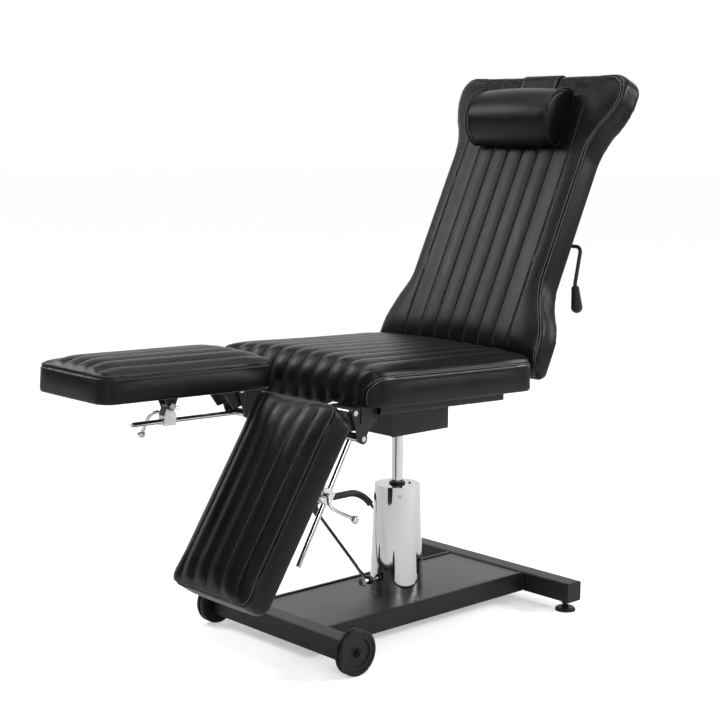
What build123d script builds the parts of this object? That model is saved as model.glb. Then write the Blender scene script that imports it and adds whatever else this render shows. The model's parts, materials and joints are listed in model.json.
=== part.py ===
from build123d import *

import os
from math import asin, atan2, cos, degrees, hypot, radians, sin, tan

os.makedirs("parts", exist_ok=True)

# Shared fits and overruns
run_fit = 0.1  # radial clearance of a pin or shaft in its hole
soft_gap = 0.3  # clearance round upholstery and loose pieces
overrun = 2.0  # extra depth of a cut past the face that it opens

# Base frame: X is across the chair, -Y to the feet, Z up from the floor
tube = 50.0
tube_wall = 2.5
tube_corner = 5.0
tube_low = 27.0
front_tube_y = -366.2
front_tube_half = 232.0
axle_plate = 4.0
rear_tube_y = 348.2
rear_tube_half = 282.7
cap_flange = 2.5
cap_plug = 9.0
rail_out = 133.0
rail_wall = 8.0
rail_top = 76.0
ledge_width = 20.0
ledge_thick = 6.0
base_plate_top = 73.0
base_plate_thick = 6.0
base_groove = 3.5

# Wheels
wheel_r = 52.7
wheel_y = -369.5
wheel_in = 241.5
wheel_width = 24.0
wheel_hub_r = 16.0
wheel_recess = 5.0
wheel_edge = 2.5
wheel_flange = 6.2
wheel_step = 1.5
wheel_step_wide = 10.0
wheel_step_r = wheel_r - wheel_edge - wheel_flange
wheel_rim_r = wheel_step_r - wheel_step_wide
tread_groove = 5.0
tread_groove_deep = 4.0
axle_r = 6.0
axle_collar_r = 11.0
axle_inside = 10.0
axle_end = 5.0
nut_r = 11.0
nut_high = 8.0

# Levelling feet
foot_inset = 25.2
foot_x = rear_tube_half - foot_inset
foot_r = 25.5
foot_rim = 5.0
foot_shoulder_r = 21.0
foot_shoulder = 9.0
foot_neck_r = 9.0
foot_neck = 14.0
stud_r = 6.0
stud_top = 62.0

# Pump and column, on the origin's vertical axis
pump_flange_r = 60.0
pump_flange = 8.0
pump_body_r = 46.0
pump_body_top = 125.0
cylinder_r = 38.0
cylinder_top = 322.0
cylinder_floor = 4.0
piston_r = 15.9
piston_high = 20.0
piston_bottom = 245.0
rod_r = 13.8
rod_top = 520.0
shroud_low_r = 66.9
shroud_top_r = 56.3
shroud_top = 337.0
shroud_wall = 1.6
gland_r = 20.0
gland_flange_r = 24.0
gland_top = 342.0

# Foot pedal
pedal_z = 107.0
pedal_shaft_r = 6.0
pedal_shaft_front = -122.0
pedal_shaft_back = 87.0
pedal_rod_r = 4.75
pedal_x = -218.0
pedal_tip_z = 265.0
pedal_front = -100.0
pedal_back = 78.0
pedal_bend = 38.0
pedal_port_r = 9.0
sleeve_r = 9.0
sleeve_tail = 8.0

# Seat: its underside falls towards the head end
seat_z = 589.5
seat_tilt = 1.75
seat_half = 280.0
seat_front = -352.0
seat_rear = 182.0
seat_seam = 80.0
seat_crown = 12.0
seat_channel = 49.0
seat_nose = 46.0
seat_tail = 24.0
seat_corner = 46.0
seat_tail_corner = 22.0
pad_lip = 1.0
channel_puff = 5.0
seam_width = 3.0
seam_deep = 4.0
board_thick = 12.0
board_inset = 14.0

# Seat frame
rail_inset = 40.0
rail_x = seat_half - rail_inset
rail_width = 25.0
rail_high = 20.0
frame_wall = 2.0
frame_corner = 3.0
rail_front = -297.0
rail_back = 105.0
cross_front = -80.0
cross_back = 82.0
head_half_x = 80.0
head_half_y = 95.0
head_low = 476.0
head_wall = 5.0
head_recess = 6.0
socket_r = 24.0

# Leg brackets, hinges and struts
hinge_y = -361.5
hinge_z = 588.3
strut_y = -337.0
strut_z = 528.0
hinge_eye_r = 11.0
strut_eye_r = 12.0
pin_r = 6.0
bracket_half = 40.0
bracket_x = rail_x - bracket_half
plate_thick = 5.0
plate_gap = 2.0
pin_over = 2.0
bracket_slot = 4.0
bracket_slot_low = 562.0
bracket_foot_y = -321.0
bracket_foot_z = 544.0
bracket_back_z = 563.0
bracket_weld = 0.7  # gap from the rail's end, filled by the weld
leg_inner = 5.0
leg_outer = seat_half
leg_root_y = -385.0
leg_root_z = 616.0
leg_length = 463.0
leg_rise = 1.24
leg_seam = 60.0
leg_crown = 15.0
leg_channel = 46.7
leg_corner = 30.0
leg_tail = 14.0
leg_drop_angle = 58.7
leg_plate_reach = 95.0
leg_plate_front = -42.5
leg_plate_front_z = -10.3
leg_plate_low = -17.5
leg_plate_low_z = -44.3
leg_plate_back = 3.5
leg_plate_back_z = -39.3
strut_rod_r = 6.0
strut_length = 310.0
strut_hub_r = 10.0

# Clamps: the pivot under each leg and the saddle on the strut
clamp_arm = 185.0
clamp_drop = 20.0
clamp_reach = 36.0
clamp_half = 11.0
clamp_long = 34.0
clamp_eye_r = 9.0
clamp_below = 10.0
clamp_shoulder = 14.0
clamp_pin_r = 4.0
clamp_pin_head_r = 6.5
clamp_pin_head = 3.0
lug_gap = 1.0
lug_thick = 4.0
lug_eye_r = 10.0
lug_base = 70.0
handle_hub_r = 6.5
handle_hub_drop = 18.5
handle_out = 25.0
handle_x = bracket_x + handle_out
handle_rod_r = 4.0
handle_cap = 1.5
ball_r = 9.5
ball_out = 44.5
ball_run = 25.0
ball_drop = 56.5
handle_shares = ((0.0, 0.0, 0.0), (0.2, 0.7, 0.06), (0.58, 0.98, 0.45), (1.0, 1.0, 1.0))

# Backrest slab: distances run up the slab from its foot and back from its face
back_y = 157.8
back_z = 600.0
back_lean = 25.7
back_thick = 61.0
back_top = 828.0
back_foot = 27.0
back_wide = 279.0
back_neck = 228.0
back_head = 282.0
back_flare_low = 100.0
back_neck_low = 271.0
back_neck_high = 620.0
back_flare_high = 765.0
back_corner = 42.0
back_foot_corner = 24.0
back_nose_rise = 84.0
back_nose_lip = 12.0
back_channel = 51.0
back_round = 18.0
back_tail_round = 9.0
back_board_low = 75.0

# Recline hinge, back frame and gas spring
recline_y = 235.0
recline_z = 580.0
recline_shaft_r = 8.0
recline_shaft_half = 150.0
arm_in = 136.0
arm_thick = 8.0
arm_eye_r = 14.0
arm_clear_y = 186.0
arm_clear_z = 583.0
back_tube_x = 122.5
back_tube_width = 25.0
back_tube_deep = 20.0
back_tube_foot = 18.0
back_tube_top = 545.0
barrel_r = 13.0
bar_thick = 5.0
bar_wide = 40.0
bar_low = 134.0
bar_step = 130.0
spring_y = 250.0
spring_z = 552.0
spring_top_y = 410.0
spring_top_z = 916.0
spring_lug_in = 16.0
spring_lug_thick = 4.0
spring_lug_r = 11.0
spring_pin_r = 5.0
spring_eye_r = 9.0
spring_can_r = 14.0
spring_bore_r = 12.0
spring_guide_r = 9.5
spring_guide = 10.0
spring_can_low = 20.0
spring_can_top = 304.0
spring_can_floor = 34.0
spring_rod_r = 5.0
spring_rod_low = 91.0
spring_piston_r = 7.0
spring_neck_r = 7.0
head_lug_in = 12.0
head_lug_thick = 4.0
head_lug_r = 10.0

# Release lever
lever_rod_r = 4.75
lever_in = 22.0
lever_x = 227.0
lever_bend_y = 390.0
lever_bend_z = 824.0
lever_dip_y = 11.0
lever_dip_z = -69.0
lever_corner = 15.0
lever_elbow = 20.0
bearing_x = 36.0
bearing_width = 12.0
bearing_high = 20.0
bearing_back = 9.0
grip_start = 5.0
grip_length = 69.0
grip_low_r = 9.5
grip_top_r = 14.5
grip_round = 3.0

# Headrest pillow and its strap
strap_half = 61.0
strap_thick = 2.7
strap_front_low = 634.0
strap_back_low = 700.0
pillow_low = 612.0
pillow_high = 160.0
pillow_deep = 91.0
pillow_half = 135.0
pillow_corner = 20.0
pillow_end_share = 0.93

sides = (-1, 1)
side_names = {-1: "left", 1: "right"}
pieces = {}


def yz(x, y=0.0, z=0.0, angle=0.0):
    """Side-view plane at a distance x, turned about X: local x is +Y, local y is up."""
    turn = radians(angle)
    return Plane(origin=(x, y, z), x_dir=(0, cos(turn), sin(turn)), z_dir=(1, 0, 0))


def turned(y, z, angle):
    """The offset (y, z) after a turn about X."""
    turn = radians(angle)
    return y * cos(turn) - z * sin(turn), y * sin(turn) + z * cos(turn)


def seat_line(y):
    """Height of the seat's underside at a place along the chair."""
    return seat_z - y * tan(radians(seat_tilt))


def leaning(y, z, up, width=0.0):
    """Plane for a pad built flat: its normal leans towards +Y by the angle up."""
    tilt = radians(up)
    return Plane(origin=(width, y, z), x_dir=(1, 0, 0), z_dir=(0, sin(tilt), cos(tilt)))


seat_plane = leaning(0, seat_z, seat_tilt)
back_turn = radians(back_lean)
back_plane = Plane(
    origin=(0, back_y + back_thick * cos(back_turn), back_z - back_thick * sin(back_turn)),
    x_dir=(1, 0, 0),
    z_dir=(0, -cos(back_turn), sin(back_turn)),
)


def on_back(y, z):
    """Distance up the slab and height over its rear face of a side-view point."""
    away = back_plane.to_local_coords(Vector(0, y, z))
    return away.Y, away.Z


recline_up, recline_over = on_back(recline_y, recline_z)
spring_up, spring_over = on_back(spring_top_y, spring_top_z)


# Base frame


def build_front_tube():
    """Welded front cross tube with a plate at each end for the wheel's axle."""
    middle = tube_low + tube / 2
    with BuildPart() as front_tube:
        with BuildSketch(yz(0, front_tube_y, middle)):
            RectangleRounded(tube, tube, tube_corner)
            RectangleRounded(tube - 2 * tube_wall, tube - 2 * tube_wall, tube_corner / 2, mode=Mode.SUBTRACT)
        extrude(amount=front_tube_half, both=True)
        for side in sides:
            with BuildSketch(yz(side * front_tube_half, front_tube_y, middle)):
                RectangleRounded(tube, tube, tube_corner)
                with Locations((wheel_y - front_tube_y, wheel_r - middle)):
                    Circle(axle_r + run_fit, mode=Mode.SUBTRACT)
            extrude(amount=side * axle_plate)
    return front_tube.part


def build_rear_tube():
    """Rear cross tube, drilled for the feet, with a weld nut under each hole."""
    middle = tube_low + tube / 2
    with BuildPart() as rear_tube:
        with BuildSketch(yz(0, rear_tube_y, middle)):
            RectangleRounded(tube, tube, tube_corner)
            RectangleRounded(tube - 2 * tube_wall, tube - 2 * tube_wall, tube_corner / 2, mode=Mode.SUBTRACT)
        extrude(amount=rear_tube_half, both=True)
        with BuildSketch(Plane.XY.offset(tube_low)):
            with Locations((-foot_x, rear_tube_y), (foot_x, rear_tube_y)):
                RegularPolygon(nut_r, 6)
        extrude(amount=-nut_high)
        with BuildSketch(Plane.XY.offset(tube_low - nut_high - overrun)):
            with Locations((-foot_x, rear_tube_y), (foot_x, rear_tube_y)):
                Circle(stud_r + run_fit)
        extrude(amount=nut_high + tube_wall + 2 * overrun, mode=Mode.SUBTRACT)
    return rear_tube.part


def build_tube_caps():
    """Flat end caps of the rear tube, each with a plug inside the wall."""
    inside = tube - 2 * tube_wall - 2 * soft_gap
    with BuildPart() as caps:
        for side in sides:
            with BuildSketch(yz(side * rear_tube_half, rear_tube_y, tube_low + tube / 2)):
                RectangleRounded(tube, tube, tube_corner)
            extrude(amount=side * cap_flange)
            with BuildSketch(yz(side * rear_tube_half, rear_tube_y, tube_low + tube / 2)):
                RectangleRounded(inside, inside, tube_corner / 2)
            extrude(amount=-side * cap_plug)
    return caps.part


def build_base_rail(side):
    """Deep flat at the plate's side, with the ledge that the plate rests on."""
    front = front_tube_y + tube / 2
    length = rear_tube_y - tube / 2 - front
    ledge_top = base_plate_top - base_plate_thick
    inner = rail_out - rail_wall
    with BuildPart() as rail:
        with BuildSketch(Plane(origin=(0, front, 0), x_dir=(1, 0, 0), z_dir=(0, -1, 0))):
            with BuildLine():
                Polyline(
                    (side * rail_out, tube_low),
                    (side * rail_out, rail_top),
                    (side * inner, rail_top),
                    (side * inner, ledge_top),
                    (side * (inner - ledge_width), ledge_top),
                    (side * (inner - ledge_width), ledge_top - ledge_thick),
                    (side * inner, ledge_top - ledge_thick),
                    (side * inner, tube_low),
                    close=True,
                )
            make_face()
        extrude(amount=-length)
    return rail.part


def build_base_plate():
    """Flat floor plate between the cross tubes, a groove short of the side rails."""
    front = front_tube_y + tube / 2
    back = rear_tube_y - tube / 2
    width = 2 * (rail_out - rail_wall - base_groove)
    with BuildPart() as plate:
        with BuildSketch(Plane.XY.offset(base_plate_top)):
            with Locations((0, (front + back) / 2)):
                Rectangle(width, back - front)
        extrude(amount=-base_plate_thick)
    return plate.part


# Wheels and feet


def build_wheel(side):
    """Moulded wheel with two flanges on the tread and a recessed ring round the hub."""
    outer = wheel_in + wheel_width
    middle = wheel_in + wheel_width / 2
    bore = axle_r + run_fit / 2
    half_groove = tread_groove / 2
    outline = [
        (wheel_in, bore),
        (wheel_in, wheel_hub_r),
        (wheel_in + wheel_recess, wheel_hub_r),
        (wheel_in + wheel_recess, wheel_rim_r),
        (wheel_in, wheel_rim_r),
        (wheel_in, wheel_r - wheel_edge),
        (wheel_in + wheel_edge, wheel_r),
        (middle - half_groove, wheel_r),
        (middle - half_groove, wheel_r - tread_groove_deep),
        (middle + half_groove, wheel_r - tread_groove_deep),
        (middle + half_groove, wheel_r),
        (outer - wheel_edge, wheel_r),
        (outer, wheel_r - wheel_edge),
        (outer, wheel_step_r),
        (outer - wheel_step, wheel_step_r),
        (outer - wheel_step, wheel_rim_r),
        (outer - wheel_recess, wheel_rim_r - wheel_step),
        (outer - wheel_recess, bore),
    ]
    with BuildPart() as wheel:
        with BuildSketch(Plane(origin=(0, wheel_y, wheel_r), x_dir=(1, 0, 0), z_dir=(0, -1, 0))):
            with BuildLine():
                Polyline([(side * x, r) for x, r in outline], close=True)
            make_face()
        revolve(axis=Axis((0, wheel_y, wheel_r), (1, 0, 0)))
    return wheel.part


def build_axle_bolts():
    """Axle of each wheel: collar against the tube, shaft, and nut in the hub's recess."""
    plate = front_tube_half + axle_plate
    nut_at = wheel_in + wheel_width - wheel_recess + soft_gap
    with BuildPart() as bolts:
        for side in sides:
            with BuildSketch(yz(side * (plate - axle_inside), wheel_y, wheel_r)):
                Circle(axle_r)
            extrude(amount=side * (nut_at + nut_high + axle_end - plate + axle_inside))
            with BuildSketch(yz(side * plate, wheel_y, wheel_r)):
                Circle(axle_collar_r)
            extrude(amount=side * (wheel_in - soft_gap - plate))
            with BuildSketch(yz(side * nut_at, wheel_y, wheel_r)):
                RegularPolygon(nut_r, 6)
            extrude(amount=side * nut_high)
    return bolts.part


def build_foot(side):
    """Levelling foot: a disc on a threaded stud that screws into the weld nut."""
    with BuildPart() as foot:
        with BuildSketch(Plane(origin=(side * foot_x, rear_tube_y, 0), x_dir=(1, 0, 0), z_dir=(0, -1, 0))):
            with BuildLine():
                Polyline(
                    (0, 0),
                    (foot_r, 0),
                    (foot_r, foot_rim),
                    (foot_shoulder_r, foot_shoulder),
                    (foot_neck_r, foot_shoulder),
                    (foot_neck_r, foot_neck),
                    (stud_r, foot_neck),
                    (stud_r, stud_top),
                    (0, stud_top),
                    close=True,
                )
            make_face()
        revolve(axis=Axis((side * foot_x, rear_tube_y, 0), (0, 0, 1)))
    return foot.part


# Pump and column


def build_pump_base():
    """Cast foot of the pump, with the bore that carries the pedal's shaft."""
    with BuildPart() as pump_base:
        with BuildSketch(Plane.XY.offset(base_plate_top)):
            Circle(pump_flange_r)
        extrude(amount=pump_flange)
        with BuildSketch(Plane.XY.offset(base_plate_top)):
            Circle(pump_body_r)
        extrude(amount=pump_body_top - base_plate_top)
        with BuildSketch(Plane.XZ.offset(-pump_flange_r)):
            with Locations((0, pedal_z)):
                Circle(pedal_shaft_r + run_fit)
        extrude(amount=2 * pump_flange_r, mode=Mode.SUBTRACT)
    return pump_base.part


def build_pump_cylinder():
    """Hydraulic cylinder, open at the top for the piston."""
    with BuildPart() as cylinder:
        with BuildSketch(Plane.XY.offset(pump_body_top)):
            Circle(cylinder_r)
        extrude(amount=cylinder_top - pump_body_top)
        with BuildSketch(Plane.XY.offset(pump_body_top + cylinder_floor)):
            Circle(piston_r + run_fit)
        extrude(amount=cylinder_top - pump_body_top, mode=Mode.SUBTRACT)
    return cylinder.part


def build_shroud():
    """Tapered thin-walled cover with a flat cap and ports for the pedal's shaft."""
    port = gland_r + soft_gap
    with BuildPart() as shroud:
        with BuildSketch(Plane.XZ):
            with BuildLine():
                Polyline(
                    (shroud_low_r, base_plate_top),
                    (shroud_top_r, shroud_top),
                    (port, shroud_top),
                    (port, shroud_top - shroud_wall),
                    (shroud_top_r - shroud_wall, shroud_top - shroud_wall),
                    (shroud_low_r - shroud_wall, base_plate_top),
                    close=True,
                )
            make_face()
        revolve(axis=Axis.Z)
        with BuildSketch(Plane.XZ.offset(-shroud_low_r)):
            with Locations((0, pedal_z)):
                Circle(pedal_port_r)
        extrude(amount=2 * shroud_low_r, mode=Mode.SUBTRACT)
    return shroud.part


def build_gland():
    """Gland that closes the cylinder round the rod and stands proud of the cap."""
    with BuildPart() as gland:
        with BuildSketch(Plane.XY.offset(cylinder_top)):
            Circle(gland_flange_r)
        extrude(amount=shroud_top - shroud_wall - soft_gap - cylinder_top)
        with BuildSketch(Plane.XY.offset(cylinder_top)):
            Circle(gland_r)
        extrude(amount=gland_top - cylinder_top)
        with BuildSketch(Plane.XY.offset(cylinder_top)):
            Circle(rod_r + run_fit)
        extrude(amount=gland_top - cylinder_top, mode=Mode.SUBTRACT)
        chamfer(gland.edges().group_by(Axis.Z)[-1].sort_by(SortBy.RADIUS)[-1], length=overrun)
    return gland.part


def build_piston_rod():
    """Polished rod with its piston in the cylinder and its head in the seat's socket."""
    with BuildPart() as rod:
        with BuildSketch(Plane.XY.offset(piston_bottom)):
            Circle(piston_r)
        extrude(amount=piston_high)
        with BuildSketch(Plane.XY.offset(piston_bottom)):
            Circle(rod_r)
        extrude(amount=rod_top - piston_bottom)
        chamfer(rod.edges().group_by(Axis.Z)[-1], length=overrun)
    return rod.part


# Foot pedal


def build_pedal():
    """Shaft through the pump with a bent rod: two arms and a crosspiece."""
    with BuildPart() as pedal:
        with BuildSketch(Plane.XZ.offset(-pedal_shaft_back)):
            with Locations((0, pedal_z)):
                Circle(pedal_shaft_r)
        extrude(amount=pedal_shaft_back - pedal_shaft_front)
        with BuildLine() as route:
            FilletPolyline(
                (0, pedal_front, pedal_z),
                (pedal_x, pedal_front, pedal_tip_z),
                (pedal_x, pedal_back, pedal_tip_z),
                (0, pedal_back, pedal_z),
                radius=pedal_bend,
            )
        with BuildSketch(Plane(origin=route.line @ 0, z_dir=route.line % 0)):
            Circle(pedal_rod_r)
        sweep()
    return pedal.part


def build_sleeve():
    """Rubber sleeve over the crosspiece and both its bends."""
    arm = hypot(pedal_x, pedal_tip_z - pedal_z)
    share = (pedal_bend + sleeve_tail) / arm
    end_x = pedal_x * (1 - share)
    end_z = pedal_tip_z - (pedal_tip_z - pedal_z) * share
    with BuildPart() as sleeve:
        with BuildLine() as route:
            FilletPolyline(
                (end_x, pedal_front, end_z),
                (pedal_x, pedal_front, pedal_tip_z),
                (pedal_x, pedal_back, pedal_tip_z),
                (end_x, pedal_back, end_z),
                radius=pedal_bend,
            )
        with BuildSketch(Plane(origin=route.line @ 0, z_dir=route.line % 0)):
            Circle(sleeve_r)
            Circle(pedal_rod_r + run_fit, mode=Mode.SUBTRACT)
        sweep()
    return sleeve.part


# Pads


def seam_places(pitch, half):
    """Seams at an even pitch, each side of the middle, inside a half width."""
    count = int((half - pitch / 2) / pitch)
    right = [pitch * (number + 0.5) for number in range(count)]
    return [-place for place in reversed(right)] + right


def centred_seams(pitch, half):
    """Seams at an even pitch with one on the middle line."""
    count = int((half - pitch / 2) / pitch)
    right = [pitch * (number + 1) for number in range(count)]
    return [-place for place in reversed(right)] + [0.0] + right


def puffed_bar(places, half, seam, crown, length):
    """Long bar whose top swells between the seams and rises to the middle."""
    knots = [-half] + places + [half]
    heights = [seam + crown * (1 - (place / half) ** 2) for place in knots]
    with BuildPart() as bar:
        with BuildSketch(Plane.XZ.offset(length)):
            with BuildLine():
                for left, right in zip(range(len(knots) - 1), range(1, len(knots))):
                    start = (knots[left], heights[left])
                    end = (knots[right], heights[right])
                    swell = (heights[left] + heights[right]) / 2 + channel_puff
                    ThreePointArc(start, ((knots[left] + knots[right]) / 2, swell), end)
                Polyline((half, heights[-1]), (half, 0), (-half, 0), (-half, heights[0]))
            make_face()
        extrude(amount=-2 * length)
    return bar.part


def pad(outline, profile, places, half, seam, crown, reach, pocket):
    """Upholstered pad: outline, puffed top, side profile and a pocket for its board."""
    ceiling = seam + crown + channel_puff
    with BuildPart() as block:
        extrude(outline, amount=ceiling)
        fillet(block.edges().group_by(Axis.Z)[-1], radius=crown + channel_puff + pad_lip)
    with BuildPart() as shaped:
        add(block.part)
        add(puffed_bar(places, half, seam, crown, reach), mode=Mode.INTERSECT)
        extrude(profile, amount=half, both=True, mode=Mode.INTERSECT)
        if pocket:
            extrude(pocket, amount=board_thick + soft_gap, mode=Mode.SUBTRACT)
    return shaped.part


def side_profile(front, rear, top, nose, tail):
    """Side view of a flat-lying pad with a rounded front and rear edge."""
    with BuildSketch(Plane.YZ) as sketch:
        with BuildLine():
            Line((rear, 0), (front, 0))
            Line((front, 0), (front, top - nose))
            ThreePointArc(
                (front, top - nose),
                (front + nose - nose * cos(radians(45)), top - nose + nose * sin(radians(45))),
                (front + nose, top),
            )
            Line((front + nose, top), (rear - tail, top))
            ThreePointArc(
                (rear - tail, top),
                (rear - tail + tail * sin(radians(45)), top - tail + tail * cos(radians(45))),
                (rear, top - tail),
            )
            Line((rear, top - tail), (rear, 0))
        make_face()
    return sketch.sketch


def corner_plan(left, right, front, rear, front_radius, rear_radius):
    """Plan of a pad with its own corner radius at each end."""
    with BuildSketch() as sketch:
        with BuildLine():
            FilletPolyline(
                (left, front),
                (right, front),
                (right, rear),
                (left, rear),
                radius=[front_radius, front_radius, rear_radius, rear_radius],
                close=True,
            )
        make_face()
    return sketch.sketch


def build_seat():
    """Seat pad with channels that wrap over its front edge, and its board."""
    top = seat_seam + seat_crown + channel_puff
    inset = board_inset
    outline = corner_plan(-seat_half, seat_half, seat_front, seat_rear, seat_corner, seat_tail_corner)
    pocket = corner_plan(
        inset - seat_half, seat_half - inset, seat_front + inset, seat_rear - inset,
        seat_corner, seat_tail_corner,
    )
    profile = side_profile(seat_front, seat_rear, top, seat_nose, seat_tail)
    places = seam_places(seat_channel, seat_half)
    cushion = pad(outline, profile, places, seat_half, seat_seam, seat_crown, seat_rear - seat_front, pocket)
    with BuildPart() as nosed:
        add(cushion)
        for place in places:
            with BuildSketch(Plane.YZ.offset(place)):
                with Locations((seat_front, 0)):
                    Rectangle(seam_deep, top - seat_nose, align=(Align.MIN, Align.MIN))
            extrude(amount=seam_width / 2, both=True, mode=Mode.SUBTRACT)
    with BuildPart() as board:
        with BuildSketch():
            add(corner_plan(
                inset + soft_gap - seat_half,
                seat_half - inset - soft_gap,
                seat_front + inset + soft_gap,
                seat_rear - inset - soft_gap,
                seat_corner,
                seat_tail_corner,
            ))
        extrude(amount=board_thick)
    return nosed.part.moved(seat_plane.location), board.part.moved(seat_plane.location)


# Seat frame


def build_seat_rail(side):
    """Box-section rail under the seat board."""
    with BuildPart() as rail:
        with BuildSketch(Plane.XZ.offset(-rail_back)):
            with Locations((side * rail_x, -rail_high / 2)):
                RectangleRounded(rail_width, rail_high, frame_corner)
                RectangleRounded(
                    rail_width - 2 * frame_wall, rail_high - 2 * frame_wall, frame_corner / 2,
                    mode=Mode.SUBTRACT,
                )
        extrude(amount=rail_back - rail_front)
    return rail.part.moved(seat_plane.location)


def build_cross_members():
    """The two cross members between the seat rails."""
    half = rail_x - rail_width / 2
    with BuildPart() as members:
        for place in (cross_front, cross_back):
            with BuildSketch(yz(0, place, -rail_high / 2)):
                RectangleRounded(rail_width, rail_high, frame_corner)
                RectangleRounded(
                    rail_width - 2 * frame_wall, rail_high - 2 * frame_wall, frame_corner / 2,
                    mode=Mode.SUBTRACT,
                )
            extrude(amount=half, both=True)
    return members.part.moved(seat_plane.location)


def build_head_box():
    """Welded box on top of the column, its front and rear plates set back."""
    inner_x = head_half_x - head_wall
    face = head_half_y - head_recess
    drop = rail_high / cos(radians(seat_tilt)) + run_fit
    low_top = [(place, seat_line(place) - drop) for place in (head_half_y, -head_half_y)]
    with BuildPart() as box:
        with BuildSketch(Plane.YZ):
            with BuildLine():
                Polyline((-head_half_y, head_low), (head_half_y, head_low), low_top[0], low_top[1], close=True)
            make_face()
        extrude(amount=head_half_x, both=True)
        tall = low_top[1][1] - head_low
        with BuildSketch(Plane.XY.offset(head_low)):
            Rectangle(2 * inner_x, 2 * (face - head_wall))
        extrude(amount=tall, mode=Mode.SUBTRACT)
        for side in sides:
            with BuildSketch(Plane.XY.offset(head_low)):
                with Locations((0, side * (head_half_y + face) / 2)):
                    Rectangle(2 * inner_x, head_recess)
            extrude(amount=tall, mode=Mode.SUBTRACT)
        with BuildSketch(Plane.XY.offset(head_low)):
            Rectangle(2 * inner_x, 2 * (face - head_wall))
            Circle(socket_r + run_fit, mode=Mode.SUBTRACT)
        extrude(amount=head_wall)
    return box.part


def build_socket():
    """Socket that turns on the head of the piston rod."""
    with BuildPart() as socket:
        with BuildSketch(Plane.XY.offset(head_low)):
            Circle(socket_r)
        extrude(amount=rod_top + 2 * overrun - head_low)
        with BuildSketch(Plane.XY.offset(head_low)):
            Circle(rod_r + run_fit)
        extrude(amount=rod_top + overrun / 2 - head_low, mode=Mode.SUBTRACT)
    return socket.part


# Leg brackets and pins


def bracket_outline(plane):
    """Seat-side bracket plate: both eyes, the stepped rear edge and the sloping foot."""
    back = rail_front - bracket_weld
    with BuildSketch(plane) as sketch:
        Circle(hinge_eye_r)
        with Locations((strut_y - hinge_y, strut_z - hinge_z)):
            Circle(strut_eye_r)
        make_hull()
        with BuildLine():
            Polyline(
                (0, hinge_eye_r),
                (back - hinge_y, seat_line(back) - hinge_z),
                (back - hinge_y, bracket_back_z - hinge_z),
                (bracket_foot_y - hinge_y, bracket_foot_z - hinge_z),
                (strut_y - hinge_y, strut_z - strut_eye_r - hinge_z),
                close=True,
            )
        make_face()
        Circle(pin_r + run_fit, mode=Mode.SUBTRACT)
        with Locations((strut_y - hinge_y, strut_z - hinge_z)):
            Circle(pin_r + run_fit, mode=Mode.SUBTRACT)
    return sketch.sketch


def build_leg_bracket(side):
    """Two hinge plates joined by a web that is fixed under the seat board."""
    slot_y = seat_front + bracket_slot
    with BuildPart() as bracket:
        for offset in (-1, 1):
            middle = side * bracket_x + offset * (bracket_half - plate_thick / 2)
            extrude(bracket_outline(yz(middle, hinge_y, hinge_z)), amount=plate_thick / 2, both=True)
        front = seat_front + board_inset + soft_gap
        back = rail_front - bracket_weld
        with BuildSketch(yz(side * bracket_x)):
            with BuildLine():
                Polyline(
                    (front, seat_line(front)),
                    (back, seat_line(back)),
                    (back, seat_line(back) - plate_thick),
                    (front, seat_line(front) - plate_thick),
                    close=True,
                )
            make_face()
        extrude(amount=bracket_half, both=True)
        slot_top = hinge_z + hinge_eye_r + overrun
        with BuildSketch(yz(side * bracket_x, slot_y + bracket_slot / 2, (slot_top + bracket_slot_low) / 2)):
            Rectangle(bracket_slot, slot_top - bracket_slot_low)
        extrude(amount=bracket_half + overrun, both=True, mode=Mode.SUBTRACT)
    return bracket.part


def build_bracket_pins():
    """Hinge pin and strut pin of both brackets, all one size."""
    with BuildPart() as pins:
        for side in sides:
            with BuildSketch(yz(side * bracket_x)):
                with Locations((hinge_y, hinge_z), (strut_y, strut_z)):
                    Circle(pin_r)
            extrude(amount=bracket_half + pin_over, both=True)
    return pins.part


# Leg rests


def leg_angle(side):
    """The near leg rest is lowered and the far one level."""
    return leg_drop_angle if side == 1 else 0.0


def leg_plane(side):
    """Plane of a leg rest's underside at its root."""
    y, z = turned(leg_root_y - hinge_y, leg_root_z - hinge_z, leg_angle(side))
    tilt = radians(leg_rise - leg_angle(side))
    return Plane(origin=(0, hinge_y + y, hinge_z + z), x_dir=(1, 0, 0), z_dir=(0, sin(tilt), cos(tilt)))


def leg_under(y):
    """Height of the level leg's underside over the hinge, at an offset from the hinge."""
    return leg_root_z - hinge_z - (y - leg_root_y + hinge_y) * tan(radians(leg_rise))


def build_leg_pad(side):
    """Leg rest's cushion and board, built flat and set on the leg's plane."""
    middle = side * (leg_inner + leg_outer) / 2
    half = (leg_outer - leg_inner) / 2
    inset = board_inset
    outline = corner_plan(-half, half, -leg_length, 0, leg_corner, leg_corner)
    pocket = corner_plan(inset - half, half - inset, inset - leg_length, -inset, leg_corner, leg_corner)
    profile = side_profile(-leg_length, 0, leg_seam + leg_crown + channel_puff, leg_corner, leg_tail)
    places = centred_seams(leg_channel, half)
    cushion = pad(outline, profile, places, half, leg_seam, leg_crown, leg_length, pocket)
    edge = inset + soft_gap
    with BuildPart() as board:
        with BuildSketch():
            add(corner_plan(edge - half, half - edge, edge - leg_length, -edge, leg_corner, leg_corner))
        extrude(amount=board_thick)
    place = leg_plane(side).location * Location((middle, 0, 0))
    return cushion.moved(place), board.part.moved(place)


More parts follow.
